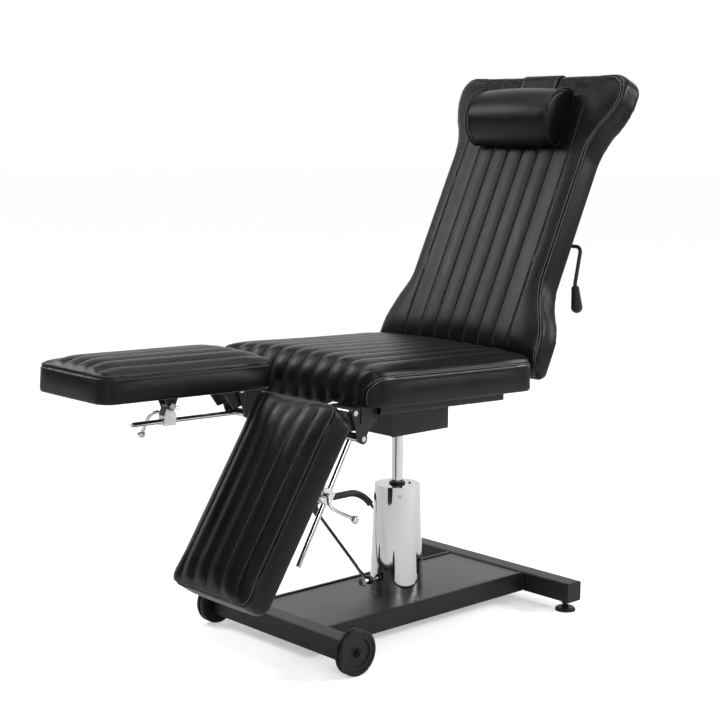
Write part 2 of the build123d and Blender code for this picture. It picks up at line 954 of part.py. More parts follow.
def build_leg_plates(side):
    """Hinge plates of a leg rest, running inside the bracket's plates."""
    angle = leg_angle(side)
    run = bracket_half - plate_thick - plate_gap - plate_thick / 2
    root = leg_root_y - hinge_y - board_inset - soft_gap
    with BuildPart() as plates:
        for offset in (-1, 1):
            with BuildSketch(yz(side * bracket_x + offset * run, hinge_y, hinge_z, angle)):
                Circle(hinge_eye_r - soft_gap)
                with BuildLine():
                    Polyline(
                        (root - leg_plate_reach, leg_under(root - leg_plate_reach)),
                        (root, leg_under(root)),
                        (0, hinge_eye_r - soft_gap),
                        (hinge_eye_r - soft_gap, 0),
                        (leg_plate_back, leg_plate_back_z),
                        (leg_plate_low, leg_plate_low_z),
                        (leg_plate_front, leg_plate_front_z),
                        (root - leg_plate_reach, leg_under(root - leg_plate_reach) - plate_thick),
                        close=True,
                    )
                make_face()
                Circle(pin_r + run_fit, mode=Mode.SUBTRACT)
            extrude(amount=plate_thick / 2, both=True)
    return plates.part


def build_clamp_bracket(side):
    """Two tapering lugs under the leg board, with the plate that carries them."""
    angle = leg_angle(side)
    outer = clamp_half + lug_gap + lug_thick
    base = [leg_under(-clamp_arm - lug_base / 2), leg_under(-clamp_arm + lug_base / 2)]
    with BuildPart() as bracket:
        for offset in (-1, 1):
            middle = side * bracket_x + offset * (clamp_half + lug_gap + lug_thick / 2)
            with BuildSketch(yz(middle, hinge_y, hinge_z, angle)):
                with Locations((-clamp_arm, -clamp_drop)):
                    Circle(lug_eye_r)
                with BuildLine():
                    Polyline(
                        (-clamp_arm - lug_base / 2, base[0]),
                        (-clamp_arm + lug_base / 2, base[1]),
                        (-clamp_arm + lug_eye_r, -clamp_drop),
                        (-clamp_arm - lug_eye_r, -clamp_drop),
                        close=True,
                    )
                make_face()
                with Locations((-clamp_arm, -clamp_drop)):
                    Circle(clamp_pin_r + run_fit, mode=Mode.SUBTRACT)
            extrude(amount=lug_thick / 2, both=True)
        with BuildSketch(yz(side * bracket_x, hinge_y, hinge_z, angle)):
            with BuildLine():
                Polyline(
                    (-clamp_arm - lug_base / 2, base[0]),
                    (-clamp_arm + lug_base / 2, base[1]),
                    (-clamp_arm + lug_base / 2, base[1] - lug_thick),
                    (-clamp_arm - lug_base / 2, base[0] - lug_thick),
                    close=True,
                )
            make_face()
        extrude(amount=outer, both=True)
    return bracket.part


# Struts, clamps and their levers


def clamp_place(side):
    """Clamp pivot in the side view, and the slope of the strut that meets its saddle."""
    y, z = turned(-clamp_arm, -clamp_drop, leg_angle(side))
    pivot_y = hinge_y + y
    pivot_z = hinge_z + z
    away = hypot(pivot_y - strut_y, pivot_z - strut_z)
    rod = atan2(strut_z - pivot_z, strut_y - pivot_y) + asin(clamp_reach / away)
    return pivot_y, pivot_z, degrees(rod)


def build_strut(side):
    """Rod with a cross tube that turns on the strut pin."""
    slope = clamp_place(side)[2]
    half = bracket_half - plate_thick - plate_gap - plate_thick - plate_gap / 2
    along = radians(slope)
    with BuildPart() as strut:
        with BuildSketch(yz(side * bracket_x, strut_y, strut_z)):
            Circle(strut_hub_r)
        extrude(amount=half, both=True)
        foot = Plane(origin=(side * bracket_x, strut_y, strut_z), z_dir=(0, -cos(along), -sin(along)))
        with BuildSketch(foot):
            Circle(strut_rod_r)
        extrude(amount=strut_length)
        chamfer(strut.edges().sort_by(Axis.Y)[0], length=overrun / 2)
        with BuildSketch(yz(side * bracket_x, strut_y, strut_z)):
            Circle(pin_r + run_fit)
        extrude(amount=half, both=True, mode=Mode.SUBTRACT)
    return strut.part


def build_clamp(side):
    """Cast clamp: an eye on the leg's pin over a saddle that is open away from the leg."""
    pivot_y, pivot_z, slope = clamp_place(side)
    low = -clamp_reach - clamp_below
    shoulder = -clamp_reach + clamp_shoulder
    saddle = strut_rod_r + soft_gap
    along = radians(slope)
    across = Plane(
        origin=(side * bracket_x, pivot_y, pivot_z), x_dir=(1, 0, 0), z_dir=(0, -cos(along), -sin(along))
    )
    with BuildPart() as clamp:
        with BuildSketch(yz(side * bracket_x, pivot_y, pivot_z, slope)):
            Circle(clamp_eye_r)
            with BuildLine():
                Polyline(
                    (-clamp_long / 2, low),
                    (clamp_long / 2, low),
                    (clamp_long / 2, shoulder),
                    (clamp_eye_r, 0),
                    (-clamp_eye_r, 0),
                    (-clamp_long / 2, shoulder),
                    close=True,
                )
            make_face()
            Circle(clamp_pin_r + run_fit, mode=Mode.SUBTRACT)
        extrude(amount=clamp_half, both=True)
        with BuildSketch(across):
            with Locations((0, -clamp_reach)):
                Circle(saddle)
            with Locations((0, -clamp_reach - clamp_below)):
                Rectangle(2 * saddle, 2 * clamp_below)
        extrude(amount=clamp_long, both=True, mode=Mode.SUBTRACT)
    return clamp.part


def build_clamp_pin(side):
    """Clevis pin through the lugs and the clamp's eye."""
    pivot_y, pivot_z, slope = clamp_place(side)
    outer = clamp_half + lug_gap + lug_thick
    with BuildPart() as pin:
        with BuildSketch(yz(side * bracket_x, pivot_y, pivot_z)):
            Circle(clamp_pin_r)
        extrude(amount=outer + clamp_pin_head, both=True)
        with BuildSketch(yz(side * (bracket_x - outer), pivot_y, pivot_z)):
            Circle(clamp_pin_head_r)
        extrude(amount=-side * clamp_pin_head)
    return pin.part


def build_handle(side):
    """Clamp lever: a hub on the clamp's outer face, and a rod that curves down and out to a ball."""
    pivot_y, pivot_z, slope = clamp_place(side)
    face = bracket_x + clamp_half + soft_gap
    grip = yz(side * handle_x, pivot_y, pivot_z, slope)
    with BuildPart() as handle:
        with BuildSketch(yz(side * face, pivot_y, pivot_z, slope)):
            with Locations((0, -handle_hub_drop)):
                Circle(handle_hub_r)
        extrude(amount=side * (handle_x + handle_rod_r + handle_cap - face))
        with BuildLine() as route:
            Spline(*[
                grip.from_local_coords(
                    Vector(-ball_run * run, -handle_hub_drop - ball_drop * drop, side * ball_out * out)
                )
                for out, run, drop in handle_shares
            ])
        with BuildSketch(Plane(origin=route.line @ 0, z_dir=route.line % 0)):
            Circle(handle_rod_r)
        sweep()
        with Locations(route.line @ 1):
            Sphere(ball_r, rotation=(0, 90, 0))
    return handle.part


# Back


def back_outline(inset, low, corner, foot_corner):
    """Face view of the backrest: wide foot, waist and a flared head, inset all round."""
    wide = back_wide - inset
    neck = back_neck - inset
    head = back_head - inset
    top = back_top - inset
    middle_low = ((wide + neck) / 2, (back_flare_low + back_neck_low) / 2)
    middle_high = ((neck + head) / 2, (back_neck_high + back_flare_high) / 2)
    with BuildSketch() as sketch:
        with BuildLine() as half:
            Line((0, low), (wide - foot_corner, low))
            TangentArc((wide - foot_corner, low), (wide, low + foot_corner), tangent=(1, 0))
            Line((wide, low + foot_corner), (wide, back_flare_low))
            TangentArc((wide, back_flare_low), middle_low, tangent=(0, 1))
            TangentArc((neck, back_neck_low), middle_low, tangent=(0, -1))
            Line((neck, back_neck_low), (neck, back_neck_high))
            TangentArc((neck, back_neck_high), middle_high, tangent=(0, 1))
            TangentArc((head, back_flare_high), middle_high, tangent=(0, -1))
            Line((head, back_flare_high), (head, top - corner))
            TangentArc((head, top - corner), (head - corner, top), tangent=(0, 1))
            Line((head - corner, top), (0, top))
            mirror(about=Plane.YZ)
        make_face()
    return sketch.sketch


def back_profile(ceiling):
    """Side view: the foot sweeps back under to a rounded lip, the top edge is rounded."""
    corner = back_round
    tail = back_tail_round
    with BuildSketch(Plane.YZ) as sketch:
        with BuildLine():
            Line((back_top - tail, 0), (back_foot + back_nose_lip, 0))
            TangentArc((back_foot + back_nose_lip, 0), (back_foot, back_nose_lip), tangent=(-1, 0))
            ThreePointArc(
                (back_foot, back_nose_lip),
                (back_foot + back_nose_rise * (1 - cos(radians(45))), ceiling * sin(radians(45))),
                (back_foot + back_nose_rise, ceiling),
            )
            Line((back_foot + back_nose_rise, ceiling), (back_top - corner, ceiling))
            TangentArc((back_top - corner, ceiling), (back_top, ceiling - corner), tangent=(1, 0))
            Line((back_top, ceiling - corner), (back_top, tail))
            TangentArc((back_top, tail), (back_top - tail, 0), tangent=(0, -1))
        make_face()
    return sketch.sketch


def build_back_pad():
    """Backrest cushion with lengthwise channels, and its board."""
    seam = back_thick - channel_puff / 2
    ceiling = seam + channel_puff
    outline = back_outline(0, back_foot, back_corner, back_foot_corner)
    pocket = back_outline(board_inset, back_board_low, back_corner, back_foot_corner)
    places = seam_places(back_channel, back_neck)
    cushion = pad(outline, back_profile(ceiling), places, back_head, seam, 0, back_top, pocket)
    with BuildPart() as board:
        with BuildSketch():
            add(back_outline(board_inset + soft_gap, back_board_low + soft_gap, back_corner, back_foot_corner))
        extrude(amount=board_thick)
    return cushion.moved(back_plane.location), board.part.moved(back_plane.location)


def build_back_tube(side):
    """Upright of the back frame, ending in the barrel that turns on the shaft."""
    with BuildPart() as upright:
        with BuildSketch(Plane.XZ.offset(-back_tube_foot)):
            with Locations((side * back_tube_x, -back_tube_deep / 2)):
                RectangleRounded(back_tube_width, back_tube_deep, frame_corner)
        extrude(amount=-(back_tube_top - back_tube_foot))
        with BuildSketch(yz(side * back_tube_x, recline_up, recline_over)):
            Circle(barrel_r)
        extrude(amount=back_tube_width / 2, both=True)
        with BuildSketch(yz(side * back_tube_x, recline_up, recline_over)):
            Circle(recline_shaft_r + run_fit)
        extrude(amount=back_tube_width / 2, both=True, mode=Mode.SUBTRACT)
    return upright.part.moved(back_plane.location)


def build_back_bars():
    """Flat bars across the back frame, between the uprights."""
    width = 2 * (back_tube_x - back_tube_width / 2)
    with BuildPart() as bars:
        for number in range(4):
            with BuildSketch():
                with Locations((0, bar_low + number * bar_step)):
                    Rectangle(width, bar_wide)
            extrude(amount=-bar_thick)
    return bars.part.moved(back_plane.location)


def build_head_lug():
    """Ears for the spring's upper pin, and the blocks that carry the release lever."""
    outer = head_lug_in + head_lug_thick
    with BuildPart() as lug:
        for side in sides:
            with BuildSketch(yz(side * (head_lug_in + head_lug_thick / 2))):
                with Locations((spring_up, spring_over)):
                    Circle(head_lug_r)
                with Locations((spring_up, -bar_thick)):
                    Rectangle(bar_wide - 2 * head_lug_thick, overrun)
                make_hull()
                with Locations((spring_up, -bar_thick)):
                    Rectangle(bar_wide, 2 * bar_thick, align=(Align.CENTER, Align.MIN), mode=Mode.SUBTRACT)
            extrude(amount=head_lug_thick / 2, both=True)
        with BuildSketch(yz(0, spring_up, spring_over)):
            Circle(spring_pin_r)
        extrude(amount=outer, both=True)
        with BuildSketch(yz(bearing_x, spring_up, -bar_thick)):
            Rectangle(bearing_high, -spring_over + bearing_back - bar_thick, align=(Align.CENTER, Align.MAX))
            with Locations((0, spring_over + bar_thick)):
                Circle(lever_rod_r + run_fit, mode=Mode.SUBTRACT)
        extrude(amount=bearing_width / 2, both=True)
        with BuildSketch(yz(back_tube_x, spring_up, -back_tube_deep)):
            deep = bearing_back - spring_over - back_tube_deep
            Rectangle(bearing_high, deep, align=(Align.CENTER, Align.MAX))
            with Locations((0, spring_over + back_tube_deep)):
                Circle(lever_rod_r + run_fit, mode=Mode.SUBTRACT)
        extrude(amount=bearing_width / 2, both=True)
    return lug.part.moved(back_plane.location)


def build_hinge_arm(side):
    """Arm from the rear cross member to the recline shaft."""
    start = cross_back + rail_width / 2
    top = seat_line(start)
    with BuildPart() as arm:
        with BuildSketch(yz(side * (arm_in + arm_thick / 2))):
            with BuildLine():
                Polyline(
                    (start, top - rail_high),
                    (start, top - soft_gap),
                    (arm_clear_y, arm_clear_z),
                    (recline_y, recline_z + arm_eye_r),
                    (recline_y, recline_z - arm_eye_r),
                    close=True,
                )
            make_face()
            with Locations((recline_y, recline_z)):
                Circle(arm_eye_r)
                Circle(recline_shaft_r + run_fit, mode=Mode.SUBTRACT)
        extrude(amount=arm_thick / 2, both=True)
    return arm.part


def build_recline_shaft():
    """Shaft that the back turns on."""
    with BuildPart() as shaft:
        with BuildSketch(yz(0, recline_y, recline_z)):
            Circle(recline_shaft_r)
        extrude(amount=recline_shaft_half, both=True)
        chamfer(shaft.edges().filter_by(GeomType.CIRCLE), length=overrun / 2)
    return shaft.part


def build_foot_lug():
    """Plates hung on the recline shaft that hold the spring's lower pin."""
    outer = spring_lug_in + spring_lug_thick
    with BuildPart() as lug:
        for side in sides:
            with BuildSketch(yz(side * (spring_lug_in + spring_lug_thick / 2))):
                with Locations((recline_y, recline_z)):
                    Circle(arm_eye_r)
                with Locations((spring_y, spring_z)):
                    Circle(spring_lug_r)
                make_hull()
                with Locations((recline_y, recline_z)):
                    Circle(recline_shaft_r + run_fit, mode=Mode.SUBTRACT)
            extrude(amount=spring_lug_thick / 2, both=True)
        with BuildSketch(yz(0, spring_y, spring_z)):
            Circle(spring_pin_r)
        extrude(amount=outer, both=True)
    return lug.part


# Gas spring and release lever

spring_run = hypot(spring_top_y - spring_y, spring_top_z - spring_z)
spring_slope = degrees(atan2(spring_top_z - spring_z, spring_top_y - spring_y))


def build_spring_can():
    """Cylinder of the gas spring with its lower eye."""
    axis_dir = (0, cos(radians(spring_slope)), sin(radians(spring_slope)))
    with BuildPart() as can:
        with BuildSketch(yz(0, spring_y, spring_z, spring_slope)):
            with BuildLine():
                Polyline(
                    (0, 0),
                    (0, spring_neck_r),
                    (spring_eye_r + spring_neck_r, spring_neck_r),
                    (spring_can_low, spring_can_r),
                    (spring_can_top - overrun, spring_can_r),
                    (spring_can_top, spring_can_r - overrun),
                    (spring_can_top, spring_guide_r),
                    (spring_can_top - spring_guide, spring_guide_r),
                    (spring_can_top - spring_guide, spring_bore_r),
                    (spring_can_floor, spring_bore_r),
                    (spring_can_floor, 0),
                    close=True,
                )
            make_face()
        revolve(axis=Axis((0, spring_y, spring_z), axis_dir))
        with BuildSketch(yz(0, spring_y, spring_z)):
            Circle(spring_eye_r)
        extrude(amount=spring_lug_in - soft_gap, both=True)
        with BuildSketch(yz(0, spring_y, spring_z)):
            Circle(spring_pin_r + run_fit)
        extrude(amount=spring_lug_in, both=True, mode=Mode.SUBTRACT)
    return can.part


def build_spring_rod():
    """Rod of the gas spring with its upper eye and the piston inside the cylinder."""
    axis_dir = (0, cos(radians(spring_slope)), sin(radians(spring_slope)))
    with BuildPart() as rod:
        with BuildSketch(yz(0, spring_y, spring_z, spring_slope)):
            with BuildLine():
                Polyline(
                    (spring_rod_low, 0),
                    (spring_rod_low, spring_piston_r),
                    (spring_rod_low + spring_piston_r, spring_piston_r),
                    (spring_rod_low + spring_piston_r, spring_rod_r),
                    (spring_run, spring_rod_r),
                    (spring_run, 0),
                    close=True,
                )
            make_face()
        revolve(axis=Axis((0, spring_y, spring_z), axis_dir))
        with BuildSketch(yz(0, spring_top_y, spring_top_z)):
            Circle(spring_eye_r)
        extrude(amount=head_lug_in - soft_gap, both=True)
        with BuildSketch(yz(0, spring_top_y, spring_top_z)):
            Circle(spring_pin_r + run_fit)
        extrude(amount=head_lug_in, both=True, mode=Mode.SUBTRACT)
    return rod.part


def build_release_lever():
    """Rod behind the back that turns down beside it to the hand grip."""
    with BuildPart() as lever:
        with BuildLine() as route:
            FilletPolyline(
                (lever_in, spring_top_y, spring_top_z),
                (lever_x, spring_top_y, spring_top_z),
                (lever_x, lever_bend_y, lever_bend_z),
                (lever_x, lever_bend_y + lever_dip_y, lever_bend_z + lever_dip_z),
                radius=[lever_corner, lever_elbow],
            )
        with BuildSketch(yz(lever_in, spring_top_y, spring_top_z)):
            Circle(lever_rod_r)
        sweep()
    return lever.part


def build_grip():
    """Hand grip that widens towards a round end."""
    run = hypot(lever_dip_y, lever_dip_z)
    slope = degrees(atan2(lever_dip_z, lever_dip_y))
    end = grip_start + grip_length
    with BuildPart() as grip:
        with BuildSketch(yz(lever_x, lever_bend_y, lever_bend_z, slope)):
            with BuildLine():
                TangentArc((end - grip_top_r, grip_top_r), (end, 0), tangent=(1, 0))
                Polyline(
                    (end, 0),
                    (run + run_fit, 0),
                    (run + run_fit, lever_rod_r + run_fit),
                    (grip_start, lever_rod_r + run_fit),
                    (grip_start, grip_low_r - grip_round),
                    (grip_start + grip_round, grip_low_r),
                    (end - grip_top_r, grip_top_r),
                )
            make_face()
        revolve(axis=Axis((lever_x, lever_bend_y, lever_bend_z), (0, lever_dip_y, lever_dip_z)))
    return grip.part


# Headrest


def build_strap():
    """Band over the top of the back that holds the pillow."""
    front = back_thick + channel_puff / 2 + soft_gap
    top = back_top + soft_gap
    inner = [(strap_front_low, front), (top, front), (top, -soft_gap), (strap_back_low, -soft_gap)]
    out = strap_thick
    outer = [
        (strap_front_low, front + out), (top + out, front + out), (top + out, -soft_gap - out),
        (strap_back_low, -soft_gap - out),
    ]
    radii = [back_round + soft_gap, back_tail_round + soft_gap]
    with BuildPart() as strap:
        with BuildSketch(Plane.YZ):
            with BuildLine():
                FilletPolyline(*inner, radius=radii)
                FilletPolyline(*outer, radius=[radius + out for radius in radii])
                Line(inner[0], outer[0])
                Line(inner[-1], outer[-1])
            make_face()
        extrude(amount=strap_half, both=True)
    return strap.part.moved(back_plane.location)


def build_pillow():
    """D-shaped bolster, flat against the strap and a little smaller at its ends."""
    base = back_thick + channel_puff / 2 + strap_thick + 2 * soft_gap
    corner = pillow_corner
    middle = pillow_low + pillow_high / 2
    with BuildPart() as pillow:
        for place, share in ((-pillow_half, pillow_end_share), (0, 1.0), (pillow_half, pillow_end_share)):
            low = middle - pillow_high / 2 * share
            high = middle + pillow_high / 2 * share
            rise = base + corner
            with BuildSketch(Plane.YZ.offset(place)):
                with BuildLine():
                    Line((high - corner, base), (low + corner, base))
                    TangentArc((low + corner, base), (low, rise), tangent=(-1, 0))
                    ThreePointArc((low, rise), (middle, base + pillow_deep * share), (high, rise))
                    TangentArc((high, rise), (high - corner, base), tangent=(0, -1))
                make_face()
        loft()
    return pillow.part.moved(back_plane.location)


# All pieces by node name

pieces["front_cross_tube"] = build_front_tube()
pieces["rear_cross_tube"] = build_rear_tube()
pieces["tube_end_caps"] = build_tube_caps()
pieces["base_plate"] = build_base_plate()
pieces["axle_bolts"] = build_axle_bolts()
pieces["pump_base"] = build_pump_base()
pieces["pump_cylinder"] = build_pump_cylinder()
pieces["pump_shroud"] = build_shroud()
pieces["rod_gland"] = build_gland()
pieces["piston_rod"] = build_piston_rod()
pieces["pedal_loop"] = build_pedal()
pieces["pedal_sleeve"] = build_sleeve()
pieces["column_socket"] = build_socket()
pieces["head_box"] = build_head_box()
pieces["seat_cross_members"] = build_cross_members()
pieces["seat_cushion"], pieces["seat_board"] = build_seat()
pieces["bracket_pins"] = build_bracket_pins()
pieces["recline_shaft"] = build_recline_shaft()
pieces["spring_foot_lug"] = build_foot_lug()
pieces["back_cushion"], pieces["back_board"] = build_back_pad()
pieces["back_cross_bars"] = build_back_bars()
pieces["spring_head_lug"] = build_head_lug()
pieces["spring_cylinder"] = build_spring_can()
pieces["spring_rod"] = build_spring_rod()
pieces["release_lever"] = build_release_lever()
pieces["lever_grip"] = build_grip()
pieces["head_strap"] = build_strap()
pieces["pillow"] = build_pillow()
for side, name in side_names.items():
    pieces[f"base_rail_{name}"] = build_base_rail(side)
    pieces[f"wheel_{name}"] = build_wheel(side)
    pieces[f"foot_{name}"] = build_foot(side)
    pieces[f"seat_rail_{name}"] = build_seat_rail(side)
    pieces[f"leg_bracket_{name}"] = build_leg_bracket(side)
    pieces[f"hinge_arm_{name}"] = build_hinge_arm(side)
    pieces[f"back_tube_{name}"] = build_back_tube(side)
    pieces[f"leg_cushion_{name}"], pieces[f"leg_board_{name}"] = build_leg_pad(side)
    pieces[f"leg_plates_{name}"] = build_leg_plates(side)
    pieces[f"clamp_bracket_{name}"] = build_clamp_bracket(side)
    pieces[f"strut_{name}"] = build_strut(side)
    pieces[f"clamp_{name}"] = build_clamp(side)
    pieces[f"clamp_pin_{name}"] = build_clamp_pin(side)
    pieces[f"clamp_lever_{name}"] = build_handle(side)

# The origin is moved from the column to the middle of the footprint
boxes = [shape.bounding_box() for shape in pieces.values()]
middle_y = (min(box.min.Y for box in boxes) + max(box.max.Y for box in boxes)) / 2
for name, shape in pieces.items():
    placed = shape.moved(Location((0, -middle_y, 0)))
    placed.label = name
    export_step(placed, f"parts/{name}.step")
print("origin moved by", round(-middle_y, 3), "nodes", len(pieces))
print("strut slopes", [round(clamp_place(side)[2], 3) for side in sides])
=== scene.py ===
# %% [markdown]
# # A tattoo chair with split leg rests
# The chair has black channelled upholstery on a black steel frame, a chrome pump and a wheeled base.
# The CAD model gives every hard piece its place, and this file gives each surface its looks.
# The soft pads are made again here, because a solid from CAD has no swell, crease or stitch.

# %% The frame
import json
import math

import bmesh
import bpy
import numpy as np
from mathutils import Matrix, Vector
from mathutils.bvhtree import BVHTree


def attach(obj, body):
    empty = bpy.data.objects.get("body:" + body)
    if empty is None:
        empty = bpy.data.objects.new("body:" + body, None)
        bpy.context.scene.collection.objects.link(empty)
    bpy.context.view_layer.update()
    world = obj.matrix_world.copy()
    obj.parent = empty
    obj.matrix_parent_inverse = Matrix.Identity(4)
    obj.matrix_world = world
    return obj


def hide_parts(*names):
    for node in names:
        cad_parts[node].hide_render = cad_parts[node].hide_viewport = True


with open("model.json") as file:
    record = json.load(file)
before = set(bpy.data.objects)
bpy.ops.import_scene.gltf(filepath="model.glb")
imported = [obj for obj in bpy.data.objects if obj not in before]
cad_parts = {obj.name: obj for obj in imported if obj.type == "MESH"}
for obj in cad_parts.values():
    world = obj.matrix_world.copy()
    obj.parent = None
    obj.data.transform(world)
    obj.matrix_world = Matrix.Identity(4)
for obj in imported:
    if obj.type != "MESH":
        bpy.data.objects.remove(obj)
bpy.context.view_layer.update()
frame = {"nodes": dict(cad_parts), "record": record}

mm = 0.001
scene = bpy.context.scene

# %% [markdown]
# The pads were drawn flat and then leant into place. To work on one, it is easiest to lay it flat again:
# x runs across the chair, y along the pad and z out of its face. A matrix for each pad does this.

# %% Flat frames of the pads
column_y = 138.034 * mm
seat_low = 589.5 * mm
seat_tilt = math.radians(1.75)
back_lean = math.radians(25.7)
back_thick = 61 * mm
back_foot = Vector((0, 157.8 * mm + column_y, 600 * mm))
hinge = Vector((0, -361.5 * mm + column_y, 588.3 * mm))
leg_root = Vector((0, -385 * mm + column_y, 616 * mm))
leg_rise = math.radians(1.24)
leg_down = math.radians(58.7)


def leant(origin, angle):
    """A flat pad's place: its origin, and a turn about the chair's cross axis."""
    return Matrix.Translation(origin) @ Matrix.Rotation(angle, 4, "X")


seat_place = leant(Vector((0, column_y, seat_low)), -seat_tilt)
back_origin = back_foot + Vector((0, back_thick * math.cos(back_lean), -back_thick * math.sin(back_lean)))
back_place = leant(back_origin, math.radians(90) - back_lean)
lowered = Matrix.Translation(hinge) @ Matrix.Rotation(leg_down, 4, "X") @ Matrix.Translation(-hinge)
leg_place = {"left": leant(leg_root, -leg_rise), "right": lowered @ leant(leg_root, -leg_rise)}

# %% [markdown]
# Materials are built from a few node groups. A group is like a small machine with named inputs and
# outputs: the same grain can be fine on one material and coarse on another.

# %% Helpers for node groups
def new_group(name, inputs, outputs):
    """An empty node group with its sockets, and its input and output nodes."""
    group = bpy.data.node_groups.new(name, "ShaderNodeTree")
    for label, kind, value in inputs:
        group.interface.new_socket(label, in_out="INPUT", socket_type=kind).default_value = value
    for label, kind in outputs:
        group.interface.new_socket(label, in_out="OUTPUT", socket_type=kind)
    return group, group.nodes.new("NodeGroupInput"), group.nodes.new("NodeGroupOutput")


def math_node(tree, operation, first, second):
    """A Math node whose two inputs are sockets or numbers."""
    node = tree.nodes.new("ShaderNodeMath")
    node.operation = operation
    for socket, value in zip(node.inputs, (first, second)):
        if isinstance(value, (int, float)):
            socket.default_value = value
        else:
            tree.links.new(value, socket)
    return node.outputs[0]


def noise_node(tree, vector, scale, detail=3.0, roughness=0.5):
    """Noise on a vector, with a scale that may be a socket."""
    node = tree.nodes.new("ShaderNodeTexNoise")
    tree.links.new(vector, node.inputs["Vector"])
    node.inputs["Detail"].default_value = detail
    node.inputs["Roughness"].default_value = roughness
    if isinstance(scale, (int, float)):
        node.inputs["Scale"].default_value = scale
    else:
        tree.links.new(scale, node.inputs["Scale"])
    return node.outputs["Fac"]


def object_vector(tree):
    """Object coordinates, in metres, which stay with the piece."""
    return tree.nodes.new("ShaderNodeTexCoord").outputs["Object"]


# %% [markdown]
# Leather grain is a net of small cells with creases between them. Voronoi's distance to the edge gives
# the net, and two noises break it up, so that no two patches look alike.

# %% Grain group
def grain_group():
    """Pebbled leather grain: a height that is low in the creases between the cells."""
    group, inside, outside = new_group(
        "pebbled grain", [("Cells", "NodeSocketFloat", 700.0)], [("Height", "NodeSocketFloat")]
    )
    where = object_vector(group)
    cells = group.nodes.new("ShaderNodeTexVoronoi")
    cells.feature = "DISTANCE_TO_EDGE"
    group.links.new(where, cells.inputs["Vector"])
    group.links.new(inside.outputs["Cells"], cells.inputs["Scale"])
    edge = math_node(group, "MINIMUM", math_node(group, "MULTIPLY", cells.outputs["Distance"], 4.0), 1.0)
    drift = noise_node(group, where, 45.0, 4.0)
    height = math_node(group, "MULTIPLY", edge, math_node(group, "ADD", drift, 0.35))
    group.links.new(height, outside.inputs["Height"])
    return group


def speckle_group():
    """Fine unevenness of paint or plastic: a height, and a slow drift for roughness and colour."""
    group, inside, outside = new_group(
        "fine speckle",
        [("Size", "NodeSocketFloat", 900.0), ("Drift", "NodeSocketFloat", 9.0)],
        [("Height", "NodeSocketFloat"), ("Patch", "NodeSocketFloat")],
    )
    where = object_vector(group)
    fine = noise_node(group, where, inside.outputs["Size"], 2.0)
    slow = noise_node(group, where, inside.outputs["Drift"], 4.0, 0.6)
    group.links.new(fine, outside.inputs["Height"])
    group.links.new(slow, outside.inputs["Patch"])
    return group


def crease_group():
    """The line that a seam leaves: a pad stores it as 1 at the thread and 0 a little further out. Open also
    masks the painted shade in the crease.
    """
    group, _, outside = new_group(
        "seam line", [], [("Line", "NodeSocketFloat"), ("Open", "NodeSocketFloat")]
    )
    stored = group.nodes.new("ShaderNodeAttribute")
    stored.attribute_name = "seam"
    line = math_node(group, "POWER", stored.outputs["Fac"], 2.0)
    group.links.new(line, outside.inputs["Line"])
    group.links.new(math_node(group, "SUBTRACT", 1.0, line), outside.inputs["Open"])
    return group


grain = grain_group()
speckle = speckle_group()
crease = crease_group()


# %% [markdown]
# Each finish starts from one function: a Principled shader with two colours, a roughness range and a
# bump. The mask mixes both colour and roughness, so that what is duller is also a little paler.

# %% One finish
def finish(
    name, dark, light, rough, metallic=0.0, bump=0.1, depth=0.2, size=900.0, drift=9.0, leather=False,
    sheen=0.5,
):
    """A procedural material from the grain or the speckle group."""
    material = bpy.data.materials.new(name)
    material.use_nodes = True
    tree = material.node_tree
    shader = tree.nodes["Principled BSDF"]
    shader.inputs["Metallic"].default_value = metallic
    shader.inputs["Specular IOR Level"].default_value = sheen
    fine = tree.nodes.new("ShaderNodeGroup")
    fine.node_tree = speckle
    fine.inputs["Size"].default_value = size
    fine.inputs["Drift"].default_value = drift
    patch = fine.outputs["Patch"]
    height = fine.outputs["Height"]
    if leather:
        pebbles = tree.nodes.new("ShaderNodeGroup")
        pebbles.node_tree = grain
        pebbles.inputs["Cells"].default_value = size
        seam = tree.nodes.new("ShaderNodeGroup")
        seam.node_tree = crease
        height = math_node(tree, "MULTIPLY", pebbles.outputs["Height"], seam.outputs["Open"])
        groove = math_node(tree, "MULTIPLY", seam.outputs["Line"], 6.0)
        height = math_node(tree, "SUBTRACT", height, groove)
        # Towards the thread the colour goes to its dark end: painted shade in the crease, with lower
        # roughness too.
        patch = math_node(tree, "MULTIPLY", patch, seam.outputs["Open"])
    colours = tree.nodes.new("ShaderNodeMix")
    colours.data_type = "RGBA"
    colours.inputs["A"].default_value = (*dark, 1)
    colours.inputs["B"].default_value = (*light, 1)
    tree.links.new(patch, colours.inputs["Factor"])
    tree.links.new(colours.outputs["Result"], shader.inputs["Base Color"])
    spread = tree.nodes.new("ShaderNodeMapRange")
    spread.inputs["To Min"].default_value = rough[0]
    spread.inputs["To Max"].default_value = rough[1]
    tree.links.new(patch, spread.inputs["Value"])
    tree.links.new(spread.outputs["Result"], shader.inputs["Roughness"])
    relief = tree.nodes.new("ShaderNodeBump")
    relief.inputs["Strength"].default_value = bump
    relief.inputs["Distance"].default_value = depth * mm
    tree.links.new(height, relief.inputs["Height"])
    tree.links.new(relief.outputs["Normal"], shader.inputs["Normal"])
    return material


